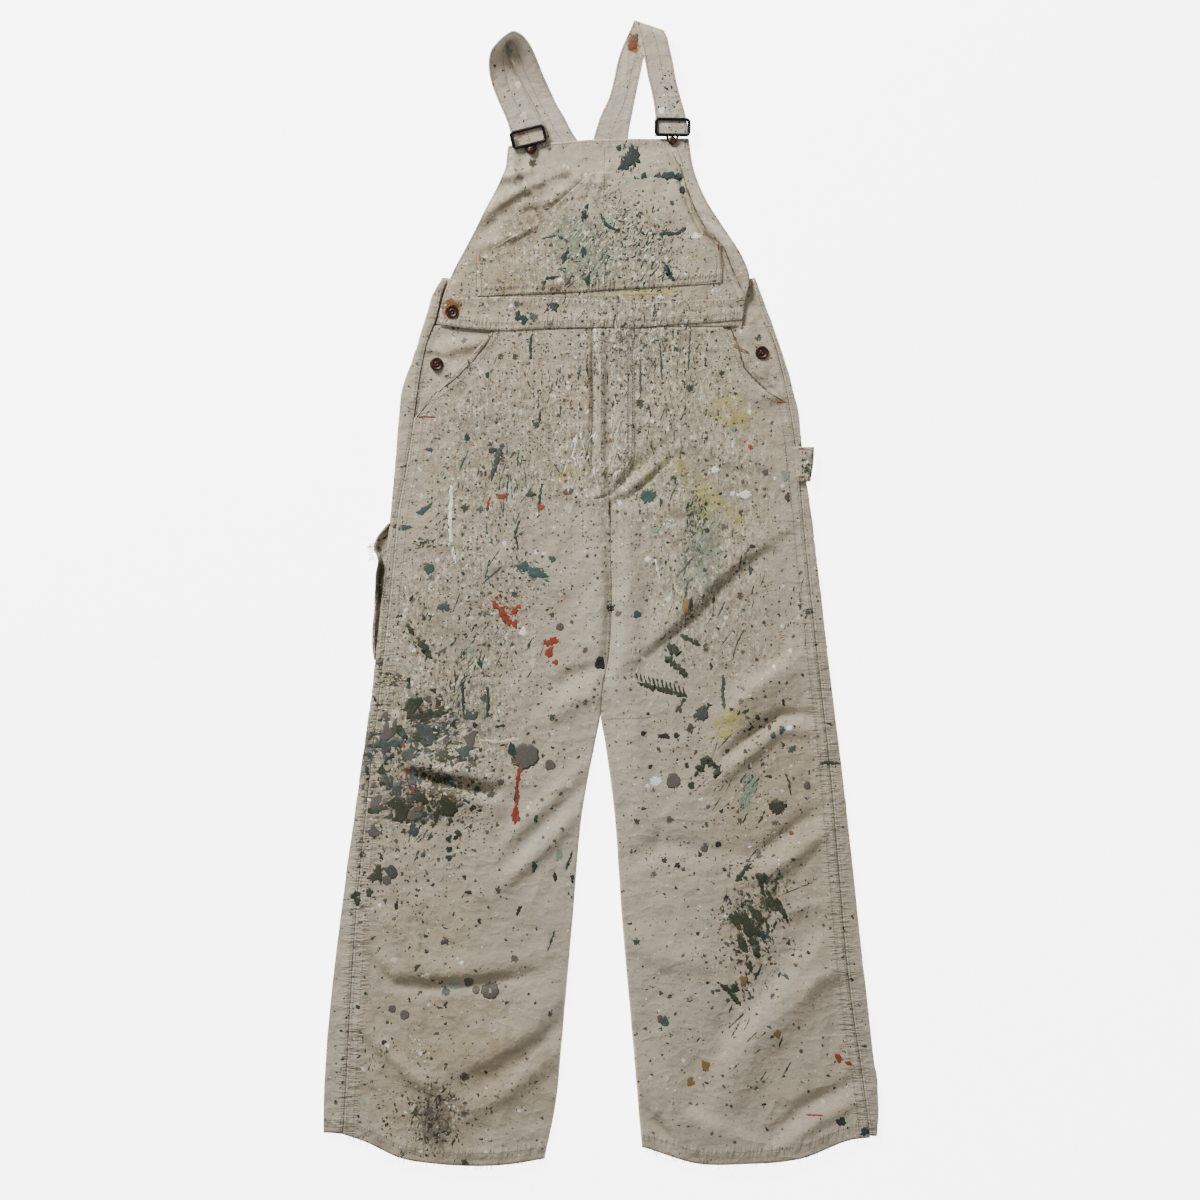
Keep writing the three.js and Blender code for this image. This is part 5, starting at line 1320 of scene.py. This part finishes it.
# Tack buttons: a domed rim, a dished face and a pierced nub, on a short neck; the bib's are plain domes.
# A profile is (share of the radius, height).
bronze = metal("dark_bronze", (0.030, 0.020, 0.014), (0.17, 0.062, 0.022), 0.7, 0.38, 0.75, 0.58)
DISHED = np.array([(0.02, 0), (0.62, 0), (0.96, 1.0), (1.0, 1.6), (0.93, 2.15), (0.80, 2.3), (0.68, 2.0),
                   (0.58, 1.35), (0.36, 1.2), (0.30, 1.75), (0.20, 1.85), (0.14, 1.5), (0.05, 1.1)])
DOMED = np.array([(0.02, 0), (0.55, 0), (0.95, 0.9), (1.0, 1.5), (0.9, 2.1), (0.66, 2.7), (0.35, 3.0),
                  (0.08, 3.1)])
turn = np.linspace(0, 2 * np.pi, 32, endpoint=False)
for node, profile in (("waist_button", DISHED), ("side_button_right", DISHED), ("side_button_left", DISHED),
                      ("bib_button_right", DOMED), ("bib_button_left", DOMED)):
    low, high = (np.array(corner) * 1000 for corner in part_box(node))
    radius = (high[0] - low[0]) / 2
    center = (low + high)[:2] / 2
    around = [cloth([center + radius * np.array(way)])
              for way in ((0, 0), (0.9, 0), (-0.9, 0), (0, 0.9), (0, -0.9))]
    top = max([high[2]] + [under[0] + 2.2 for under in around if under is not None])
    reach = radius * profile[:, :1]
    z = np.repeat(top - profile[:, 1].max() + profile[:, 1:], 32, axis=1)
    skin = Skin()
    rings = np.dstack([center[0] + reach * np.cos(turn), center[1] + reach * np.sin(turn), z])
    skin.rings(rings, (0.03, 0.02, 0.015))
    made = skin.piece(node + "_turned", bronze)
    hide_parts(node)

sewing.piece("stitches", dried)

# The camera looks straight down on the middle of the garment, from far enough away that its height
# hardly shows.
camera_data = bpy.data.cameras.new("camera")
camera_data.lens = 98.4
camera = put("camera", camera_data)
camera.location = (-0.0012, -0.0092, 4.0)
bpy.context.scene.camera = camera

# A pale, glowing floor, a soft even sky and two soft lamps: a strong one at the upper left and a weak
# one at the right.
floor_mesh = bpy.data.meshes.new("floor")
floor_mesh.from_pydata([(-6, -6, 0), (6, -6, 0), (6, 6, 0), (-6, 6, 0)], [], [(0, 1, 2, 3)])
floor = put("floor", floor_mesh)
floor_material = bpy.data.materials.new("floor")
floor_material.use_nodes = True
shader = floor_material.node_tree.nodes["Principled BSDF"]
shader.inputs["Base Color"].default_value = (0.9, 0.9, 0.9, 1)
shader.inputs["Roughness"].default_value = 1
shader.inputs["Emission Color"].default_value = (1, 1, 1, 1)
shader.inputs["Emission Strength"].default_value = 5.5
floor_mesh.materials.append(floor_material)

world = bpy.data.worlds.new("world")
world.use_nodes = True
world.node_tree.nodes["Background"].inputs["Color"].default_value = (1, 1, 1, 1)
world.node_tree.nodes["Background"].inputs["Strength"].default_value = 0.34
bpy.context.scene.world = world
for place, size, power in (((-1.5, 2.6, 1.6), 0.9, 222), ((2.2, -0.6, 2.6), 2.5, 10)):
    lamp_data = bpy.data.lights.new("lamp", "AREA")
    lamp_data.size = size
    lamp_data.energy = power
    lamp = put("lamp", lamp_data)
    lamp.location = place
    lamp.rotation_euler = (-Vector(place)).to_track_quat("-Z", "Y").to_euler()
